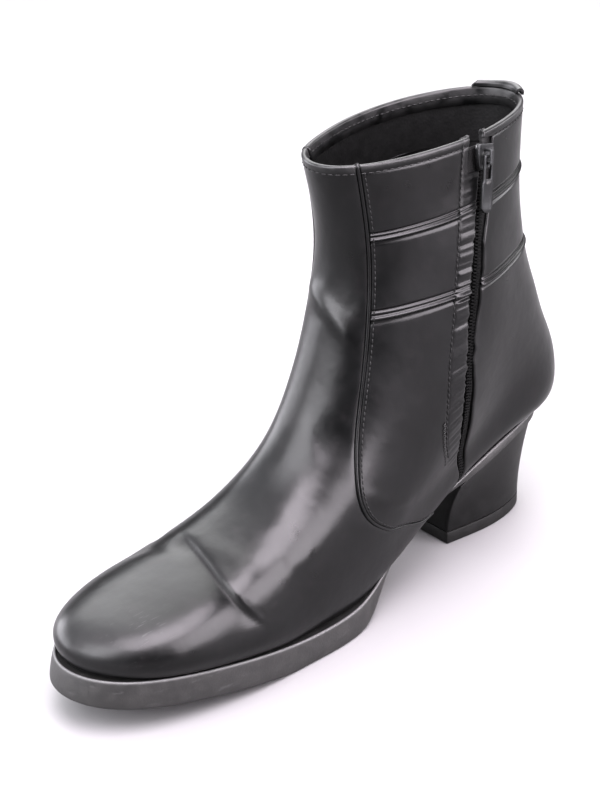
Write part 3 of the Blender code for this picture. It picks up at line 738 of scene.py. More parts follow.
def dress(piece, finish, slot, *nodes, body=BOOT):
    """Give a piece its finish, hang it on the body it rides on and hide the imported parts it stands for."""
    piece.data.materials.clear()
    piece.data.materials.append(finish)
    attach(piece, body)
    if nodes:
        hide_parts(*nodes)
    return piece


# Leather panels

def fold(run, roll):
    """How far leather goes on and down after running past the start of a roll."""
    run = np.maximum(run, 0)
    arc = np.minimum(run / roll.radius, roll.sweep)
    straight = np.maximum(run - roll.radius * roll.sweep, 0)
    on = roll.radius * np.sin(arc) + straight * math.cos(roll.sweep)
    down = roll.radius * (1 - np.cos(arc)) + straight * math.sin(roll.sweep)
    return on, down


ROLL_CELLS = 7


def runs(roll):
    """Distances past the start of a roll that have points."""
    arc = roll.radius * roll.sweep
    bent = arc * np.arange(1, ROLL_CELLS + 1) / ROLL_CELLS
    return np.concatenate([bent, arc + roll.tuck * np.array([0.4, 1.0])])


JOG_SHARE = 0.2  # share of a panel's width that moves with a step of its edge


def leather_panel(name, levels, start, end, rolls, shares, relief_of, finish, start_jog=None, end_jog=None):
    """A panel of the upper between two lines, with its edges rolled in.

    start and end give the turn of the panel's edges at a level, rolls how each edge is turned in, and the
    jogs how far an edge steps forward, in millimetres.
    """
    low, high = runs(FEATHER_ROLL), runs(RIM_ROLL)
    row = np.concatenate([np.full(len(low), levels[0]), levels, np.full(len(high), levels[-1])])
    under = np.concatenate([low[::-1], np.zeros(len(levels) + len(high))])
    over = np.concatenate([np.zeros(len(low) + len(levels)), high])
    near, far = runs(rolls[0]), runs(rolls[1])
    share = np.concatenate([np.zeros(len(near)), shares, np.ones(len(far))])
    before = np.concatenate([near[::-1], np.zeros(len(shares) + len(far))])
    beyond = np.concatenate([np.zeros(len(near) + len(shares)), far])
    turn = np.zeros((len(row), len(share)))
    sides = ((start, 1, rolls[0], start_jog, 1 - share), (end, -1, rolls[1], end_jog, share))
    for line, side, roll, jog, weight in sides:
        level = lifted(row, line(row))
        per_mm = turn_per_mm(level, line(level))
        turn += (line(level) + side * roll.radius * per_mm)[:, None] * weight
        if jog:
            turn += (jog(level) * per_mm)[:, None] * smooth(weight, 1 - JOG_SHARE, 1.0)
    level = lifted(row[:, None], turn)
    relief, flex, edge, crack = relief_of(level, turn)
    around, up, outward = last_axes(level, turn)
    back, back_down = fold(before, rolls[0])
    ahead, ahead_down = fold(beyond, rolls[1])
    below, below_down = fold(under, FEATHER_ROLL)
    above, above_down = fold(over, RIM_ROLL)
    down = np.maximum(np.maximum(back_down, ahead_down)[None, :], np.maximum(below_down, above_down)[:, None])
    points = last_point(level, turn) + around * (ahead - back)[None, :, None]
    points = points + up * (above - below)[:, None, None] + outward * (relief - down)[..., None]
    panel = shaped_grid(name, points)
    store(panel, "flex", flex)
    # edge: wear at the seams and collar, and a painted highlight along the zip.
    store(panel, "edge", np.clip(edge, 0, 1))
    store(panel, "crack", crack)
    thicken(panel, LEATHER)
    shade(panel)
    return dress(panel, finish, "black_leather", "upper")


CROWDING = 0.5  # 0 for even cells, 1 for none at the ends


def crowded(cells):
    """Shares from 0 to 1, closer together near both ends."""
    share = np.arange(cells + 1) / cells
    return share - CROWDING * np.sin(2 * math.pi * share) / (2 * math.pi)


# Rows by ring level and columns by share of a panel's width, each with the number of cells to the next.
FRONT_ROWS = ((FOOT_LEVEL, 14), (1.5, 130), (4.2, 32), (6.8, 20), (RIM_LEVEL, 0))
FRONT_COLUMNS = ((0.0, 8), (0.03, 130), (0.5, 34), (0.97, 8), (1.0, 0))
SIDE_ROWS = ((FOOT_LEVEL, 26), (2.0, 30), (4.0, 42), (6.08, 26), (6.42, 26), (7.43, 26), (7.77, 16),
             (8.25, 16), (8.40, 16), (8.80, 10), (RIM_LEVEL, 0))
ZIP_COLUMNS, BACK_COLUMNS = 110, 140


def upper_panels(finish):
    """The front panel and the two side panels, cut back from the piped seams."""
    def cut_back(line, side):
        return lambda level: beside(line, level, side * SEAM_HALF)

    def plain_front_edge(level):
        return beside(zip_turn, level, zip_front_edge(level))

    def plain_rear_edge(level):
        return beside(zip_turn, level, -zip_rear_edge(level))

    leather_panel("front_panel", spaced(FRONT_ROWS), cut_back(medial_seam, 1),
                  lambda level: cut_back(lateral_seam, -1)(level) + 2 * math.pi,
                  (SEAM_ROLL, SEAM_ROLL), spaced(FRONT_COLUMNS), front_relief, finish)
    leather_panel("back_quarter", spaced(SIDE_ROWS), cut_back(lateral_seam, 1), plain_rear_edge,
                  (SEAM_ROLL, ZIP_ROLL), crowded(BACK_COLUMNS), back_relief, finish, end_jog=rear_jog)
    leather_panel("zip_quarter", spaced(SIDE_ROWS), plain_front_edge, cut_back(medial_seam, -1),
                  (ZIP_ROLL, SEAM_ROLL), crowded(ZIP_COLUMNS), zip_quarter_relief, finish,
                  start_jog=front_jog)


PIPING_SIDES, PIPING_STEPS = 10, 240
PIPING_FOOT = 0.1  # ring level


def piping(name, line, finish):
    """The bead between two panels, over the rim at its top."""
    over = runs(RIM_ROLL)
    level = np.concatenate([np.linspace(PIPING_FOOT, RIM_LEVEL, PIPING_STEPS), np.full(len(over), RIM_LEVEL)])
    run = np.concatenate([np.zeros(PIPING_STEPS), over])
    turn = line(level)
    _, up, outward = last_axes(level, turn)
    on, down = fold(run, RIM_ROLL)
    centre = last_point(level, turn) + up * on[:, None] - outward * (down + PIPING_SUNK)[:, None]
    tangent = unit(np.gradient(centre, axis=0))
    side = unit(np.cross(tangent, outward + up * 1e-3))
    lift = np.cross(side, tangent)
    angle = np.linspace(0, 2 * math.pi, PIPING_SIDES + 1)
    ring = side[:, None] * np.cos(angle)[:, None] + lift[:, None] * np.sin(angle)[:, None]
    bead = shaped_grid(name, centre[:, None] + PIPING_RADIUS * ring)
    close(bead)
    shade(bead)
    return dress(bead, finish, "black_leather", "upper")


# Stitches

STITCH_LENGTH, STITCH_RADIUS = 2.3, 0.34
RIM_PITCH, PLACKET_PITCH, SEAM_PITCH, ZIGZAG_PITCH = 3.0, 2.6, 2.4, 1.1
RIM_STITCH = COLLAR - STITCH_DROP / 23.8  # ring level; a level is 23.8 mm there
ROW_END = 0.03  # radians from a panel's edge to the end of its row
SEAM_ROW = 2.3  # from a piped seam to the row beside it
ZIGZAG_HALF, ZIGZAG_AHEAD = 1.3, 2.0  # half its width, and its place ahead of the strip's row
ON_LEATHER, IN_LEATHER, ON_ZIGZAG = 0.1, 0.02, 0.05
# Ring levels where rows start and end, with the number of places at which their paths are worked out.
PLACKET_LEVELS, SEAM_LEVELS, ZIGZAG_LEVELS = (3.0, 8.9, 300), (0.3, 8.85, 300), (2.7, 4.3, 60)
RIM_SAMPLES = 200


def stitch_pattern():
    """One stitch, lying along Y."""
    bpy.ops.object.select_all(action="DESELECT")
    bpy.ops.mesh.primitive_uv_sphere_add(segments=8, ring_count=6, radius=1.0)
    stitch = named("stitch")
    size = (STITCH_RADIUS * MM, STITCH_LENGTH / 2 * MM, STITCH_RADIUS * MM)
    edit(stitch, (bpy.ops.transform.resize, {"value": size}))
    return stitch


def stitch_row(level, turn, relief_of, pitch, out=ON_LEATHER):
    """Places of stitches along a path on the leather, set out from it; with no relief, from the last."""
    level, turn = walk(level, turn, pitch)
    if relief_of:
        out = out + relief_of(level, turn)[0]
    points = set_out(level, turn, np.broadcast_to(out, level.shape))
    return placed(points, np.gradient(points, axis=0), last_axes(level, turn)[2])


def zigzag(level, turn):
    """Places of stitches that cross from side to side of a path."""
    level, turn = walk(level, turn, ZIGZAG_PITCH)
    around, _, outward = last_axes(level, turn)
    side = np.where(np.arange(len(level)) % 2, 1.0, -1.0)[:, None]
    points = last_point(level, turn) + around * side * ZIGZAG_HALF + outward * ON_ZIGZAG
    return placed((points[1:] + points[:-1]) / 2, np.diff(points, axis=0), outward[1:])


def thread(finish):
    """Stitches along the collar, outside and inside, by the strip and the pipings, and a zigzag."""
    rows = []
    flat = np.full(RIM_SAMPLES, RIM_STITCH)
    for start, end, relief_of in (
        (medial_seam(RIM_STITCH), 2 * math.pi + lateral_seam(RIM_STITCH), front_relief),
        (lateral_seam(RIM_STITCH), rear_edge_turn(RIM_STITCH), back_relief),
        (front_edge_turn(RIM_STITCH), medial_seam(RIM_STITCH), zip_quarter_relief),
    ):
        turn = np.linspace(start + ROW_END, end - ROW_END, len(flat))
        rows.append(stitch_row(flat, turn, relief_of, RIM_PITCH))
        rows.append(stitch_row(flat, turn, None, RIM_PITCH, -2 * RIM_ROLL.radius))
    level = np.linspace(*PLACKET_LEVELS)
    rows.append(stitch_row(level, placket_stitch(level), zip_quarter_relief, PLACKET_PITCH))
    level = np.linspace(*SEAM_LEVELS)
    for line, side, relief_of in ((medial_seam, -1, zip_quarter_relief), (lateral_seam, 1, back_relief)):
        turn = beside(line, level, side * SEAM_ROW)
        rows.append(stitch_row(level, turn, relief_of, SEAM_PITCH, IN_LEATHER))
    level = np.linspace(*ZIGZAG_LEVELS)
    rows.append(zigzag(level, beside(placket_stitch, level, ZIGZAG_AHEAD)))
    piece = repeated("thread", stitch_pattern(), np.concatenate(rows))
    shade(piece)
    return dress(piece, finish, "zip_tape")


# Inside

LINING_DEPTH, LINING_THICK = 0.95, 0.5
LINING_FRONT, LINING_REAR = 12.5, 8.5  # from the zip to the lining's edges
LINING_FOOT, LINING_TOP = 0.05, 8.92  # ring levels
LINING_ROWS, LINING_COLUMNS = 90, 150


def lining(finish):
    """The lining between leather and turned-in collar, open along the zip."""
    level = np.linspace(LINING_FOOT, LINING_TOP, LINING_ROWS)[:, None]
    start = beside(zip_turn, level, LINING_FRONT)
    end = beside(zip_turn, level, -LINING_REAR) + 2 * math.pi
    turn = start + (end - start) * np.linspace(0, 1, LINING_COLUMNS)
    level = np.broadcast_to(level, turn.shape)
    hollows = np.minimum(crease_relief(last_point(level, turn))[0], 0)
    piece = shaped_grid("lining", set_out(level, turn, hollows - LINING_DEPTH))
    thicken(piece, LINING_THICK)
    shade(piece)
    return dress(piece, finish, "lining", "upper")


MIDDLE_Y = -1.0  # the line along the foot on which insole and tread close


def closing_rings(edge, shares, height):
    """Rings from an edge in towards the middle line; height gives Z along X."""
    middle = np.column_stack([edge[:, 0], np.full(len(edge), MIDDLE_Y)])
    plans = [edge[:, :2] + (middle - edge[:, :2]) * share for share in shares]
    return [np.column_stack([plan, height(plan[:, 0])]) for plan in plans]


InsoleRing = namedtuple("InsoleRing", "inset lift")
INSOLE_EDGE = (InsoleRing(3.8, GAP), InsoleRing(3.6, 1.2), InsoleRing(3.6, 2.4), InsoleRing(4.0, 3.0),
               InsoleRing(4.8, 3.3))
INSOLE_SHARES = (0.3, 0.65, 0.9)  # of the way in from the edge
INSOLE_COLUMNS = 128


def insole(finish):
    """The insole's cover, with a soft edge."""
    turns = np.linspace(0, 2 * math.pi, INSOLE_COLUMNS + 1)
    rings = []
    for inset, lift in INSOLE_EDGE:
        plan = feather_ring(turns, np.full(len(turns), -inset))
        rings.append(np.column_stack([plan, feather_z(plan[:, 0]) + lift]))
    rings += closing_rings(rings[-1], INSOLE_SHARES, lambda x: feather_z(x) + INSOLE_EDGE[-1].lift)
    piece = shaped_grid("insole_cover", np.array(rings))
    close(piece)
    shade(piece, SOFT_ANGLE)
    return dress(piece, finish, "lining", "insole")


LOOP_START, LOOP_END = -30.0, 20.0
LOOP_NEAR, LOOP_FAR, LOOP_RISE = -0.5, 3.1, 3.2
STRAP_THICK = 1.1
LOOP_SLANT = 5.0  # degrees by which the strap's outer end leans
LOOP_SAG = 0.35  # height of the waves along its fold
LOOP_FLEX = 0.4
LEG_CELLS, BEND_CELLS, LOOP_COLUMNS = 4, 16, 60


def pull_loop(finish):
    """The folded strap along the back of the collar's edge, open at its ends."""
    radius = (LOOP_FAR - LOOP_NEAR) / 2
    bend = np.linspace(0, math.pi, BEND_CELLS + 1)
    leg = np.linspace(GAP, LOOP_RISE - radius, LEG_CELLS + 1)[:-1]
    depth = np.concatenate([np.full(LEG_CELLS, LOOP_NEAR), LOOP_NEAR + radius - radius * np.cos(bend),
                            np.full(LEG_CELLS, LOOP_FAR)])
    height = np.concatenate([leg, LOOP_RISE - radius + radius * np.sin(bend), leg[::-1]])[:, None]
    turn = np.radians(np.linspace(LOOP_START, LOOP_END, LOOP_COLUMNS + 1))
    lean = math.radians(LOOP_SLANT) * smooth(turn, 0.0, math.radians(LOOP_START))
    turn = turn + lean * (height / LOOP_RISE)
    _, up, _ = last_axes(float(COLLAR), turn)
    sag = LOOP_SAG * np.sin(turn * 7.0 + 1.0) * smooth(height, 0.8, LOOP_RISE)
    points = set_out(float(COLLAR), turn, -depth[:, None]) + up * (height + sag)[..., None]
    strap = shaped_grid("pull_strap", points)
    store(strap, "flex", np.full(turn.shape, LOOP_FLEX))
    store(strap, "edge", np.broadcast_to(smooth(height, 1.0, LOOP_RISE), turn.shape))
    thicken(strap, STRAP_THICK)
    shade(strap, SOFT_ANGLE)
    return dress(strap, finish, "black_leather", "pull_loop")


# Sole and heel

SOLE_COLUMNS = 240
SOLE_FLOOR = 1.7  # from the feather line down to the sole's top beside the upper
SOLE_TOP_INSET = 6.0  # from the lip to where the sole's top ends under the upper
# Rings over the sole's lip; the last column says how pale the lip is painted, a painted highlight along its
# crest.
SoleLip = namedtuple("SoleLip", "inset fall rubbed")
SOLE_LIP = (SoleLip(1.9, 1.0, 0.0), SoleLip(1.55, 0.9, 0.0), SoleLip(1.3, 0.55, 0.2),
            SoleLip(1.05, 0.36, 0.8), SoleLip(0.6, 0.32, 1.0), SoleLip(0.25, 0.42, 1.0),
            SoleLip(0.05, 0.6, 0.7))
SIDE_TOP, SIDE_BOW = 0.6, 0.25  # share of SOLE_FLOOR at which the side starts, and how far it bows out
SIDE_FALLS = (0.05, 0.12, 0.22, 0.32, 0.45, 0.58, 0.70, 0.82)
TreadEdge = namedtuple("TreadEdge", "fall tuck")
TREAD_SHARES = (0.06, 0.2, 0.4, 0.6, 0.8, 0.97)  # of the way in from the edge
TREAD_EDGE = (TreadEdge(0.90, 0.0), TreadEdge(0.95, 0.12), TreadEdge(0.985, 0.4), TreadEdge(1.0, 0.9))


def sole_rings(turns):
    """Rings of the sole from its top, over the lip and down the side, to the tread's middle."""
    share = (1 - np.cos(turns)) / 2
    ledge, flare = profile("ledge", share), profile("flare", share)

    def ring(out, top_fall, bottom_share=0.0):
        plan = feather_ring(turns, out)
        top, bottom = feather_z(plan[:, 0]) - top_fall * SOLE_FLOOR, tread_z(plan[:, 0])
        return np.column_stack([plan, top + (bottom - top) * bottom_share])

    rings = [ring(ledge - SOLE_TOP_INSET, 1.0)]
    rings += [ring(ledge - lip.inset, lip.fall) for lip in SOLE_LIP]
    for fall in SIDE_FALLS:
        rings.append(ring(ledge + flare * fall + SIDE_BOW * math.sin(math.pi * fall), SIDE_TOP, fall))
    for fall, tuck in TREAD_EDGE:
        rings.append(ring(ledge + flare * fall - tuck, SIDE_TOP, fall))
    return np.array(rings + closing_rings(rings[-1], TREAD_SHARES, tread_z))


def outsole(finish):
    """The moulded sole: groove beside the upper, lip, slightly bowed side and tread."""
    turns = np.linspace(0, 2 * math.pi, SOLE_COLUMNS + 1)
    rings = sole_rings(turns)
    rubbed = np.zeros(rings.shape[:2])
    # The lip's pale colour is a painted highlight along its crest.
    rubbed[1:1 + len(SOLE_LIP)] = np.array([lip.rubbed for lip in SOLE_LIP])[:, None]
    piece = shaped_grid("sole", rings)
    store(piece, "edge", rubbed)
    close(piece)
    shade(piece, SOFT_ANGLE)
    return dress(piece, finish, "sole_rubber", "outsole")


BREAST_TURN, HEEL_INSET = 60.5, 0.6
BASE_BACK_X, BASE_BREAST_X, BASE_CENTRE_Y = 16.5, 75.7, -2.5
LIFT_THICK = 6.0
HeelWidth = namedtuple("HeelWidth", "turn half")
HEEL_BASE = (HeelWidth(0.0, 0.0), HeelWidth(15.0, 12.0), HeelWidth(30.0, 18.8), HeelWidth(45.0, 21.0),
             HeelWidth(60.5, 18.0))
HEEL_BULGE = 1.7  # above 1 the block narrows quickly under the seat
BREAST_BOW, BASE_BOW = 1.6, 0.3  # how far the breast curves in, and the share of it at the base
HEEL_COLUMNS, BREAST_COLUMNS, HEEL_ROWS = 90, 15, 25
HEEL_BEVEL, LIFT_BEVEL = 0.7, 0.45


def heel_plan(seat_share):
    """Plan of the heel from its base at 0 to its seat at 1, round the back and along the breast."""
    limit = math.radians(BREAST_TURN)
    turns = np.linspace(-limit, limit, HEEL_COLUMNS)
    seat = feather_ring(turns, np.full(len(turns), -HEEL_INSET))
    reach = (1 - np.cos(turns)) / (1 - math.cos(limit))
    half = natural_spline(*np.transpose(HEEL_BASE), np.degrees(np.abs(turns)))
    base = np.column_stack([BASE_BACK_X + (BASE_BREAST_X - BASE_BACK_X) * reach,
                            BASE_CENTRE_Y + np.sign(turns) * half])
    plan = base + (seat - base) * seat_share
    across = np.linspace(0, 1, BREAST_COLUMNS + 1)[1:-1]
    breast = plan[-1] + (plan[0] - plan[-1]) * across[:, None]
    breast[:, 0] -= BREAST_BOW * np.sin(math.pi * across) * (BASE_BOW + (1 - BASE_BOW) * seat_share)
    return np.concatenate([plan, breast, plan[:1]])


def rounded(piece, width, segments):
    """Close a piece and bevel its sharp edges."""
    close(piece)
    apply(piece, "BEVEL", width=width * MM, segments=segments, limit_method="ANGLE",
          angle_limit=math.radians(BEVEL_ANGLE))
    shade(piece, BEVEL_ANGLE)


def heel(finish):
    """The tapered heel block."""
    rings = []
    for fall in np.linspace(0, 1, HEEL_ROWS + 1):
        plan = heel_plan((1 - fall) ** HEEL_BULGE)
        top = tread_z(plan[:, 0]) - GAP
        rings.append(np.column_stack([plan, top + (LIFT_THICK + GAP - top) * fall]))
    piece = shaped_grid("heel_block", np.array(rings))
    rounded(piece, HEEL_BEVEL, 3)
    return dress(piece, finish, "heel_cover", "heel")


def top_piece(finish):
    """The heel's rubber top piece."""
    plan = heel_plan(0.0)
    rings = [np.column_stack([plan, np.full(len(plan), z)]) for z in (LIFT_THICK, LIFT_THICK / 2, 0.0)]
    piece = shaped_grid("heel_lift", np.array(rings))
    rounded(piece, LIFT_BEVEL, 2)
    return dress(piece, finish, "sole_rubber", "heel_top_piece")


# Zip

TAPE_HALF, TAPE_DEPTH, TAPE_THICK = 13.0, 1.75, 0.5
TAPE_FOOT, TAPE_TOP = 0.25, 8.80  # ring levels
TAPE_ROWS, TAPE_COLUMNS = 120, 15


def zip_tape(finish):
    """The woven tape behind the chain."""
    run = np.linspace(zip_run(TAPE_FOOT), zip_run(TAPE_TOP), TAPE_ROWS)[:, None]
    offsets = np.linspace(-TAPE_HALF, TAPE_HALF, TAPE_COLUMNS)
    turn = beside(zip_turn, zip_level(run), offsets)
    level = np.broadcast_to(zip_level(run), turn.shape)
    tape = shaped_grid("zip_tape", set_out(level, turn, np.full(turn.shape, -TAPE_DEPTH)))
    store(tape, "along", np.broadcast_to(run, turn.shape))
    store(tape, "across", np.broadcast_to(offsets, turn.shape))
    thicken(tape, TAPE_THICK)
    shade(tape)
    return dress(tape, finish, "zip_tape", "zip_chain")


def block(name, size, centre=(0.0, 0.0, 0.0)):
    """A block in the slider's own axes, in millimetres."""
    bpy.ops.object.select_all(action="DESELECT")
    bpy.ops.mesh.primitive_cube_add(size=1.0, location=[c * MM for c in centre], scale=[s * MM for s in size])
    bpy.ops.object.transform_apply(location=True, rotation=True, scale=True)
    return named(name)


TOOTH_PITCH = 1.5
TOOTH_SIZE = (2.3, 0.95, 1.3)
TOOTH_SIDE, TOOTH_DEPTH, TOOTH_BEVEL = 0.75, 1.15, 0.22
TEETH_FOOT, TEETH_PAST = 0.5, 3.0  # ring level of the first, and millimetres past the slider


def zip_teeth(finish):
    """Two interlocking rows of teeth from the zip's foot to the slider."""
    run = np.arange(zip_run(TEETH_FOOT), zip_run(SLIDER_LEVEL) + TEETH_PAST, TOOTH_PITCH / 2)
    level = zip_level(run)
    points = zip_point(level)
    along = unit(np.gradient(points, axis=0))
    outward = last_axes(level, zip_turn(level))[2]
    across = unit(np.cross(along, outward))
    side = np.where(np.arange(len(run)) % 2, TOOTH_SIDE, -TOOTH_SIDE)[:, None]
    places = placed(points + across * side - outward * TOOTH_DEPTH, along, outward)
    tooth = block("tooth", TOOTH_SIZE)
    edit(tooth, (bpy.ops.mesh.bevel, {"offset": TOOTH_BEVEL * MM, "segments": 1, "affect": "EDGES"}))
    teeth = repeated("zip_teeth", tooth, places)
    shade(teeth, BEVEL_ANGLE)
    return dress(teeth, finish, "zip_tape", "zip_chain")


def placing(across, along, outward, place):
    """Matrix with these axes at a place on the last."""
    columns = np.column_stack([across, along, outward, (place + SHIFT) * MM])
    return Matrix(np.vstack([columns, [0, 0, 0, 1]]).tolist())


SLIDER_MATRIX = placing(SLIDER_ROUND, SLIDER_UP, SLIDER_OUT, SLIDER_PLACE)


def pick(piece, test, kind="FACE"):
    """In edit mode, select the faces or points that pass a test on their middle, in mm, and normal."""
    shape = bmesh.from_edit_mesh(piece.data)
    bpy.ops.mesh.select_all(action="DESELECT")
    bpy.ops.mesh.select_mode(type=kind)
    for item in (shape.faces if kind == "FACE" else shape.verts):
        middle = item.calc_center_median() if kind == "FACE" else item.co
        item.select_set(bool(test(middle / MM, item.normal)))
    shape.select_flush_mode()
    bmesh.update_edit_mesh(piece.data)


def cut(axis, places):
    """In edit mode, cut the whole piece across an axis at places in mm."""
    for place in places:
        bpy.ops.mesh.select_all(action="SELECT")
        point, normal = [0.0] * 3, [0.0] * 3
        point[axis], normal[axis] = place * MM, 1.0
        bpy.ops.mesh.bisect(plane_co=point, plane_no=normal)


def editing(piece):
    only(piece)
    bpy.ops.object.mode_set(mode="EDIT")


SHARP_ANGLE = 30.0


def done_editing(bevel, segments):
    """Round the sharp edges and leave edit mode."""
    bpy.ops.mesh.select_all(action="DESELECT")
    bpy.ops.mesh.select_mode(type="EDGE")
    bpy.ops.mesh.edges_select_sharp(sharpness=math.radians(SHARP_ANGLE))
    bpy.ops.mesh.bevel(offset=bevel * MM, segments=segments, affect="EDGES")
    bpy.ops.mesh.select_all(action="SELECT")
    bpy.ops.mesh.normals_make_consistent(inside=False)
    bpy.ops.object.mode_set(mode="OBJECT")


def widen(scale):
    """In edit mode, scale what is picked across the slider's axis."""
    bpy.ops.transform.resize(value=(scale, 1.0, 1.0), center_override=(0, 0, 0))


# Where the slider's body is cut, and its width in each part of the length as a share of SLIDER_WIDTH.
SLIDER_CUTS = (-2.6, 0.6, 3.0)
SliderPart = namedtuple("SliderPart", "low high share")
SLIDER_PARTS = (SliderPart(-9.0, -4.0, 0.66), SliderPart(-3.0, -2.0, 0.86), SliderPart(4.0, 9.0, 0.9))
SUNK_EDGE, SUNK_TOP, SUNK_GRIP = 0.9, 0.3, 0.28  # rim round a sunk face, and how deep it is
BODY_BEVEL, BRIDGE_BEVEL, TAB_BEVEL = 0.32, 0.3, 0.22
BRIDGE_SUNK = 0.6  # how far the bridge's posts go into the body
FACING = 0.9  # a face's normal along an axis, for one that looks that way


def zip_slider(finish):
    """The slider: a waisted body with a sunk top, and a bridge for the pull tab."""
    body = block("zip_slider_body", (SLIDER_WIDTH, SLIDER_LENGTH, SLIDER_THICK), (0, 0, SLIDER_THICK / 2))
    editing(body)
    cut(1, SLIDER_CUTS)
    for part in SLIDER_PARTS:
        pick(body, lambda at, normal: part.low < at.y < part.high, "VERT")
        widen(part.share)
    pick(body, lambda at, normal: normal.z > FACING)
    bpy.ops.mesh.inset(thickness=SUNK_EDGE * MM, depth=-SUNK_TOP * MM)
    done_editing(BODY_BEVEL, 3)
    bridge = block("bridge", (BRIDGE_WIDTH, BRIDGE_LENGTH, BRIDGE_THICK),
                   (0, 0, SLIDER_THICK + BRIDGE_RISE - BRIDGE_THICK / 2))
    editing(bridge)
    post = BRIDGE_LENGTH / 2 - BRIDGE_THICK
    cut(1, (-post, post))
    pick(bridge, lambda at, normal: normal.z < -FACING and abs(at.y) > post)
    drop = (0, 0, -(BRIDGE_RISE - BRIDGE_THICK + BRIDGE_SUNK) * MM)
    bpy.ops.mesh.extrude_region_move(TRANSFORM_OT_translate={"value": drop})
    done_editing(BRIDGE_BEVEL, 3)
    only(body)
    bridge.select_set(True)
    bpy.ops.object.join()
    body.data.transform(SLIDER_MATRIX)
    shade(body, BEVEL_ANGLE)
    return dress(body, finish, "zip_metal", "zip_slider")


def zip_pull(finish):
    """The pull tab with its eye round the bridge and a sunk grip."""
    bar = TAB_THICK / 2
    tip = bar - TAB_LENGTH
    neck = -bar - TAB_EYE_LENGTH - TAB_NECK
    waist = neck - TAB_SHOULDER
    tab = block("pull_tab", (TAB_HEAD_WIDTH, TAB_LENGTH, TAB_THICK), (0, bar - TAB_LENGTH / 2, 0))
    editing(tab)
    cut(1, (-bar, -bar - TAB_EYE_LENGTH, neck, waist, tip + TAB_TIP_CORNER))
    cut(0, (-TAB_EYE_WIDTH / 2, TAB_EYE_WIDTH / 2))
    pick(tab, lambda at, normal: at.y < waist + 0.1, "VERT")
    widen(TAB_FOOT_WIDTH / TAB_HEAD_WIDTH)
    pick(tab, lambda at, normal: at.y < tip + 0.3, "VERT")
    widen(1 - 2 * TAB_TIP_CORNER / TAB_FOOT_WIDTH)
    eye_end = -bar - TAB_EYE_LENGTH
    pick(tab, lambda at, normal: abs(normal.z) > FACING and abs(at.x) < 1 and eye_end < at.y < -bar)
    bpy.ops.mesh.bridge_edge_loops()
    pick(tab, lambda at, normal: normal.z > FACING and tip + TAB_TIP_CORNER < at.y < waist)
    bpy.ops.mesh.inset(thickness=SUNK_EDGE * MM, depth=-SUNK_GRIP * MM)
    done_editing(TAB_BEVEL, 2)
    tab.data.transform(SLIDER_MATRIX @ Matrix.Translation((0, 0, AXIS_HEIGHT * MM)))
    shade(tab, BEVEL_ANGLE)
    return dress(tab, finish, "zip_metal", "zip_pull", body=PULL)


# Finishes

class Value:
    """A shader value that takes part in Python expressions; each step adds a Math node."""

    def __init__(self, tree, socket):
        self.tree, self.socket = tree, socket

    def step(self, operation, first, second):
        node = self.tree.nodes.new("ShaderNodeMath")
        node.operation = operation
        plug(self.tree, node.inputs[0], first)
        plug(self.tree, node.inputs[1], second)
        return Value(self.tree, node.outputs[0])

    def __add__(self, other):
        return self.step("ADD", self, other)

    def __radd__(self, other):
        return self.step("ADD", other, self)

    def __sub__(self, other):
        return self.step("SUBTRACT", self, other)

    def __rsub__(self, other):
        return self.step("SUBTRACT", other, self)

    def __mul__(self, other):
        return self.step("MULTIPLY", self, other)

    def __rmul__(self, other):
        return self.step("MULTIPLY", other, self)


def plug(tree, socket, value):
    """Link a shader value to a socket, or set a plain one on it."""
    if isinstance(value, Value):
        tree.links.new(value.socket, socket)
    else:
        socket.default_value = value


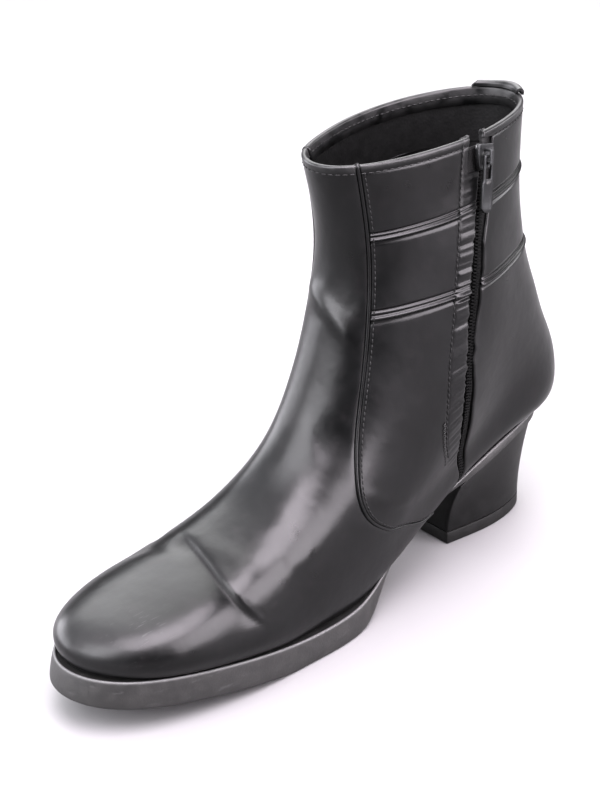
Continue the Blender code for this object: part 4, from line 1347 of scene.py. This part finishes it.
class Finish:
    """A procedural material on the piece's own coordinates."""

    def __init__(self, name):
        self.material = bpy.data.materials.new(name)
        self.material.use_nodes = True
        self.tree = self.material.node_tree
        self.shader = self.tree.nodes["Principled BSDF"]
        self.place = self.node("ShaderNodeTexCoord", {}, {}, "Object")

    def node(self, kind, settings, inputs, out=0):
        """Add a node: its settings, then its inputs' values or links; gives one of its outputs."""
        node = self.tree.nodes.new(kind)
        for key, value in settings.items():
            setattr(node, key, value)
        for key, value in inputs.items():
            plug(self.tree, node.inputs[key], value)
        return Value(self.tree, node.outputs[out])

    def stretched(self, scale, turn=(0.0, 0.0, 0.0)):
        """The piece's coordinates scaled along each axis, after a turn in degrees."""
        angles = [math.radians(angle) for angle in turn]
        turned = self.node("ShaderNodeMapping", {}, {"Vector": self.place, "Rotation": angles})
        return self.node("ShaderNodeMapping", {}, {"Vector": turned, "Scale": scale})

    def noise(self, size, detail=2.0, vector=None):
        """Soft noise with lumps of about size millimetres."""
        inputs = {"Vector": vector or self.place, "Scale": 1 / (size * MM), "Detail": detail}
        return self.node("ShaderNodeTexNoise", {}, inputs)

    def cells(self, size):
        """Distance from the middle of cells of about size millimetres."""
        inputs = {"Vector": self.place, "Scale": 1 / (size * MM)}
        return self.node("ShaderNodeTexVoronoi", {}, inputs, "Distance")

    def attribute(self, name):
        return self.node("ShaderNodeAttribute", {"attribute_name": name}, {}, "Fac")

    def ramp(self, value, start, end, low=0.0, high=1.0):
        return self.node("ShaderNodeMapRange", {"interpolation_type": "SMOOTHSTEP"},
                         {"Value": value, "From Min": start, "From Max": end, "To Min": low, "To Max": high})

    def mix(self, share, first, second):
        """A colour between two."""
        return self.node("ShaderNodeMix", {"data_type": "RGBA"}, {0: share, 6: first, 7: second}, 2)

    def near(self, place, radius):
        """1 at a place on the last, fading to 0 at a radius."""
        centre = tuple((np.array(place) + SHIFT) * MM)
        ends = {0: self.place, 1: centre}
        distance = self.node("ShaderNodeVectorMath", {"operation": "DISTANCE"}, ends, "Value")
        return self.ramp(distance, radius * MM, 0.0)

    def bump(self, height, depth, strength, below=None):
        """A normal raised by a height of 0 to 1 times a depth in millimetres."""
        inputs = {"Height": height, "Distance": depth * MM, "Strength": strength}
        if below:
            inputs["Normal"] = below
        return self.node("ShaderNodeBump", {}, inputs)

    def surface(self, **inputs):
        """Set the shader's sockets, named with _ for spaces."""
        for key, value in inputs.items():
            plug(self.tree, self.shader.inputs[key.replace("_", " ")], value)
        return self.material


def varied(value, middle, spread):
    """A setting that swings about its middle with a value of 0 to 1."""
    return middle + (value - 0.5) * spread


def grey(level, warm=0.0):
    """A near-black or pale colour, a little warm or cool."""
    return (level * (1 + warm), level, level * (1 - warm), 1.0)


def worn_leather():
    """Smooth black calf, polished unevenly, wrinkled where it flexes, worn pale at its edges and with a
    painted highlight along the zip's edges.
    """
    hide = Finish("worn_black_leather")
    flex, edge = hide.attribute("flex"), hide.attribute("edge")
    clouds = hide.noise(26.0, 3.0)
    mottle = hide.noise(6.0, 3.0)
    pores = hide.cells(0.55)
    grain = hide.noise(0.9, 2.0)
    scratched = hide.stretched((0.05, 1.0, 1.0), (0, 0, 7))
    scratches = hide.ramp(hide.noise(1.0, 1.0, scratched), 0.64, 0.74) * hide.near((257.0, 21.0, 42.0), 22.0)
    wrinkles = hide.noise(1.3, 1.0, hide.stretched((0.10, 1.0, 1.0), (0, 0, 26)))
    wrinkled = hide.near((158.0, 34.5, 61.0), 17.0) + hide.near((206.0, 27.0, 51.0), 22.0) * 0.7
    # Pale edges: wear, and along the zip a painted highlight.
    rubbed = edge * hide.ramp(mottle, 0.22, 0.62)
    toe = hide.near((262.0, 10.0, 42.0), 46.0) * hide.ramp(clouds, 0.40, 0.70)
    colour = hide.mix(hide.ramp(clouds, 0.30, 0.72), grey(0.0012, -0.04), grey(0.0024, -0.06))
    colour = hide.mix(hide.ramp(mottle, 0.52, 0.80) * 0.35, colour, (0.0058, 0.0045, 0.0052, 1.0))
    colour = hide.mix(rubbed * 0.7 + scratches * 0.5 + toe * 0.10, colour, grey(0.034))
    roughness = varied(clouds, 0.32, 0.16) + (mottle - 0.5) * 0.12
    roughness = roughness + rubbed * 0.10 + scratches * 0.18 + toe * 0.05 + hide.attribute("crack") * 0.45
    normal = hide.bump(pores * 0.55 + grain * 0.45, 0.03, 0.5)
    normal = hide.bump(hide.noise(3.4) * (0.4 + 0.6 * flex), 0.07, 0.5, normal)
    normal = hide.bump(hide.noise(10.0), 0.34, 0.6, normal)
    normal = hide.bump(wrinkles * wrinkled, 0.07, 0.5, normal)
    return hide.surface(Base_Color=colour, Roughness=roughness, Normal=normal, Coat_Weight=0.06,
                        Coat_Roughness=0.22, Specular_IOR_Level=0.25)


def moulded_rubber(name, shade_level, gloss):
    """Matt moulded rubber, scuffed and dusty, with a painted highlight along the sole's lip."""
    rubber = Finish(name)
    mottle = rubber.noise(5.0, 4.0)
    scuffs = rubber.ramp(rubber.noise(1.6, 3.0, rubber.stretched((0.25, 0.25, 1.0))), 0.58, 0.75)
    dark, pale = grey(shade_level, 0.02), grey(shade_level * 1.6, 0.03)
    colour = rubber.mix(rubber.ramp(mottle, 0.3, 0.75), dark, pale)
    colour = rubber.mix(scuffs * 0.4, colour, grey(shade_level * 4.5))
    # Painted highlight: pale along the sole's lip, where the edge attribute is set.
    colour = rubber.mix(rubber.attribute("edge") * (0.6 + mottle * 0.5), colour, grey(shade_level * 7.0))
    normal = rubber.bump(rubber.noise(0.9, 3.0), 0.10, 0.6)
    normal = rubber.bump(rubber.noise(4.0, 2.0), 0.22, 0.5, normal)
    roughness = varied(mottle, 0.56, 0.2) + scuffs * 0.12
    return rubber.surface(Base_Color=colour, Roughness=roughness, Normal=normal, Specular_IOR_Level=gloss)


def lining_leather():
    """Matt lining with an open grain."""
    hide = Finish("lining_leather")
    mottle = hide.noise(4.0, 3.0)
    pores = hide.cells(1.3)
    colour = hide.mix(hide.ramp(mottle, 0.35, 0.7), grey(0.0015), grey(0.0030))
    normal = hide.bump(pores * 0.7 + hide.noise(0.8, 2.0) * 0.3, 0.16, 0.8)
    return hide.surface(Base_Color=colour, Roughness=varied(mottle, 0.66, 0.2), Normal=normal,
                        Specular_IOR_Level=0.16)


def heel_finish():
    """Satin lacquer over the heel block, with scattered rubs."""
    lacquer = Finish("heel_lacquer")
    mottle = lacquer.noise(7.0, 4.0)
    rubs = lacquer.ramp(lacquer.noise(1.5, 3.0, lacquer.stretched((0.3, 0.3, 1.0))), 0.62, 0.78)
    colour = lacquer.mix(lacquer.ramp(mottle, 0.35, 0.7), grey(0.0035), grey(0.0065))
    colour = lacquer.mix(rubs * 0.3, colour, grey(0.02))
    normal = lacquer.bump(lacquer.noise(1.2, 3.0), 0.05, 0.6)
    roughness = varied(mottle, 0.42, 0.16) + rubs * 0.1
    return lacquer.surface(Base_Color=colour, Roughness=roughness, Normal=normal, Specular_IOR_Level=0.16)


def woven(name, thread_mm, shade_level):
    """Woven tape: threads over and under, along and across."""
    tape = Finish(name)
    along, across = tape.attribute("along"), tape.attribute("across")
    turns = 2 * math.pi / thread_mm
    warp = tape.node("ShaderNodeMath", {"operation": "SINE"}, {0: across * turns})
    weft = tape.node("ShaderNodeMath", {"operation": "SINE"}, {0: along * turns + across * (turns / 2)})
    weave = warp * weft * 0.5 + 0.5
    fuzz = tape.noise(0.5, 2.0)
    colour = tape.mix(weave * 0.6 + fuzz * 0.4, grey(shade_level * 0.55), grey(shade_level * 1.5))
    normal = tape.bump(weave * 0.8 + fuzz * 0.2, 0.18, 0.8)
    return tape.surface(Base_Color=colour, Roughness=varied(fuzz, 0.72, 0.2), Normal=normal,
                        Specular_IOR_Level=0.12)


def dark_metal(name, level):
    """Blackened metal, worn bright in scratches."""
    metal = Finish(name)
    wear = metal.ramp(metal.noise(3.2, 2.0), 0.60, 0.74)
    lines = metal.ramp(metal.noise(0.7, 1.0, metal.stretched((1.0, 1.0, 0.12), (0, 24, 0))), 0.68, 0.78)
    shine = wear * 0.35 + lines * 0.30
    colour = metal.mix(shine, grey(level, -0.02), grey(0.42, 0.02))
    normal = metal.bump(metal.noise(1.6, 2.0), 0.015, 0.4)
    return metal.surface(Base_Color=colour, Metallic=1.0, Roughness=0.42 - shine * 0.12, Normal=normal)


def plain_black(name, lump, dark, pale, depth, strength, gloss):
    """Black thread or plastic with one soft noise in colour, roughness and relief."""
    finish = Finish(name)
    mottle = finish.noise(lump)
    colour = finish.mix(mottle, grey(dark), grey(pale))
    normal = finish.bump(mottle, depth, strength)
    return finish.surface(Base_Color=colour, Roughness=varied(mottle, 0.5, 0.2), Normal=normal,
                          Specular_IOR_Level=gloss)


# Studio

FLOOR_DROP = 0.3
PRINT_GAMMA = 0.86  # below 1 deepens the darks, as in the photo


def floor():
    bpy.ops.object.select_all(action="DESELECT")
    bpy.ops.mesh.primitive_plane_add(size=12.0, location=(0.0, 0.0, -FLOOR_DROP * MM))
    ground = named("floor")
    paper = Finish("pale_paper")
    colour = paper.mix(paper.noise(300.0, 2.0), (0.145, 0.144, 0.145, 1.0), (0.153, 0.152, 0.153, 1.0))
    ground.data.materials.append(paper.surface(Base_Color=colour, Roughness=0.65))


BOOT_MIDDLE = (0.03, 0.0, 0.06)
Lamp = namedtuple("Lamp", "name place size power colour aim", defaults=(BOOT_MIDDLE,))
LAMPS = (
    Lamp("ceiling", (0.20, 0.45, 1.52), (1.2, 1.1), 98.0, (1.0, 0.93, 1.0)),
    Lamp("window", (-0.36, 1.08, 0.66), (1.2, 1.0), 62.0, (1.0, 0.94, 1.0)),
    Lamp("front", (1.00, -0.02, 0.86), (0.8, 0.85), 34.0, (0.97, 0.96, 1.0)),
    Lamp("low front", (1.28, -0.17, 0.40), (1.05, 0.7), 8.0, (0.97, 0.96, 1.0)),
    Lamp("wall", (0.22, -0.92, 1.18), (1.9, 1.3), 20.0, (0.95, 0.95, 1.0)),
    Lamp("low wall", (0.72, -1.24, 0.36), (1.5, 0.7), 34.0, (0.96, 0.95, 1.0)),
    Lamp("side wall", (-1.36, 0.58, 0.36), (0.8, 0.35), 10.0, (0.98, 0.97, 1.0)),
    Lamp("backdrop", (-1.5, -1.5, 1.6), (3.0, 3.0), 190.0, (1.0, 1.0, 1.0), (-1.5, -1.5, 0.0)),
)


def soft_light(lamp):
    """An area light at a place, facing another; metres and watts."""
    data = bpy.data.lights.new(lamp.name, "AREA")
    data.shape = "RECTANGLE"
    data.size, data.size_y = lamp.size
    data.energy = lamp.power
    data.color = lamp.colour
    light = bpy.data.objects.new(lamp.name, data)
    bpy.context.scene.collection.objects.link(light)
    light.location = lamp.place
    light.rotation_euler = (Vector(lamp.aim) - Vector(lamp.place)).to_track_quat("-Z", "Y").to_euler()


def studio():
    world = bpy.data.worlds.new("pale_room")
    world.use_nodes = True
    sky = world.node_tree.nodes["Background"]
    sky.inputs["Color"].default_value = (0.94, 0.93, 1.0, 1.0)
    sky.inputs["Strength"].default_value = 0.18
    bpy.context.scene.world = world
    for lamp in LAMPS:
        soft_light(lamp)
    bpy.context.scene.view_settings.view_transform = "Standard"
    bpy.context.scene.view_settings.gamma = PRINT_GAMMA


# Camera: the photo's viewpoint, from the toe's inner side, above

VIEW_TURN, VIEW_RISE, VIEW_ROLL = 49.49, 27.22, -2.59
VIEW_DISTANCE = 730.0
VIEW_TARGET = np.array([146.8, -3.4, 96.3])
LENS, SENSOR = 76.5, 36.0


def camera():
    turn, rise, roll = (math.radians(a) for a in (VIEW_TURN, VIEW_RISE, VIEW_ROLL))
    back = np.array([math.cos(turn) * math.cos(rise), math.sin(turn) * math.cos(rise), math.sin(rise)])
    right = np.array([-math.sin(turn), math.cos(turn), 0.0])
    up = np.cross(back, right)
    level_right = right * math.cos(roll) + up * math.sin(roll)
    level_up = up * math.cos(roll) - right * math.sin(roll)
    data = bpy.data.cameras.new("camera")
    data.lens, data.sensor_width = LENS, SENSOR
    data.clip_start = 0.01
    viewer = bpy.data.objects.new("camera", data)
    bpy.context.scene.collection.objects.link(viewer)
    viewer.matrix_world = placing(level_right, level_up, back, VIEW_TARGET + back * VIEW_DISTANCE)
    bpy.context.scene.camera = viewer


def main():
    camera()
    leather = worn_leather()
    upper_panels(leather)
    piping("medial_piping", medial_seam, leather)
    piping("lateral_piping", lateral_seam, leather)
    thread(plain_black("black_thread", 0.5, 0.004, 0.010, 0.05, 0.6, 0.25))
    hide = lining_leather()
    lining(hide)
    insole(hide)
    pull_loop(leather)
    outsole(moulded_rubber("sole_rubber", 0.009, 0.5))
    heel(heel_finish())
    # The top piece is the sole's rubber made darker and less glossy: painted shade.
    top_piece(moulded_rubber("lift_rubber_with_painted_shade", 0.004, 0.25))
    zip_tape(woven("black_tape", 0.8, 0.007))
    zip_teeth(plain_black("black_teeth", 2.0, 0.0012, 0.0030, 0.03, 0.5, 0.06))
    zip_slider(dark_metal("slider_metal", 0.05))
    zip_pull(dark_metal("pull_metal", 0.04))
    floor()
    studio()


main()
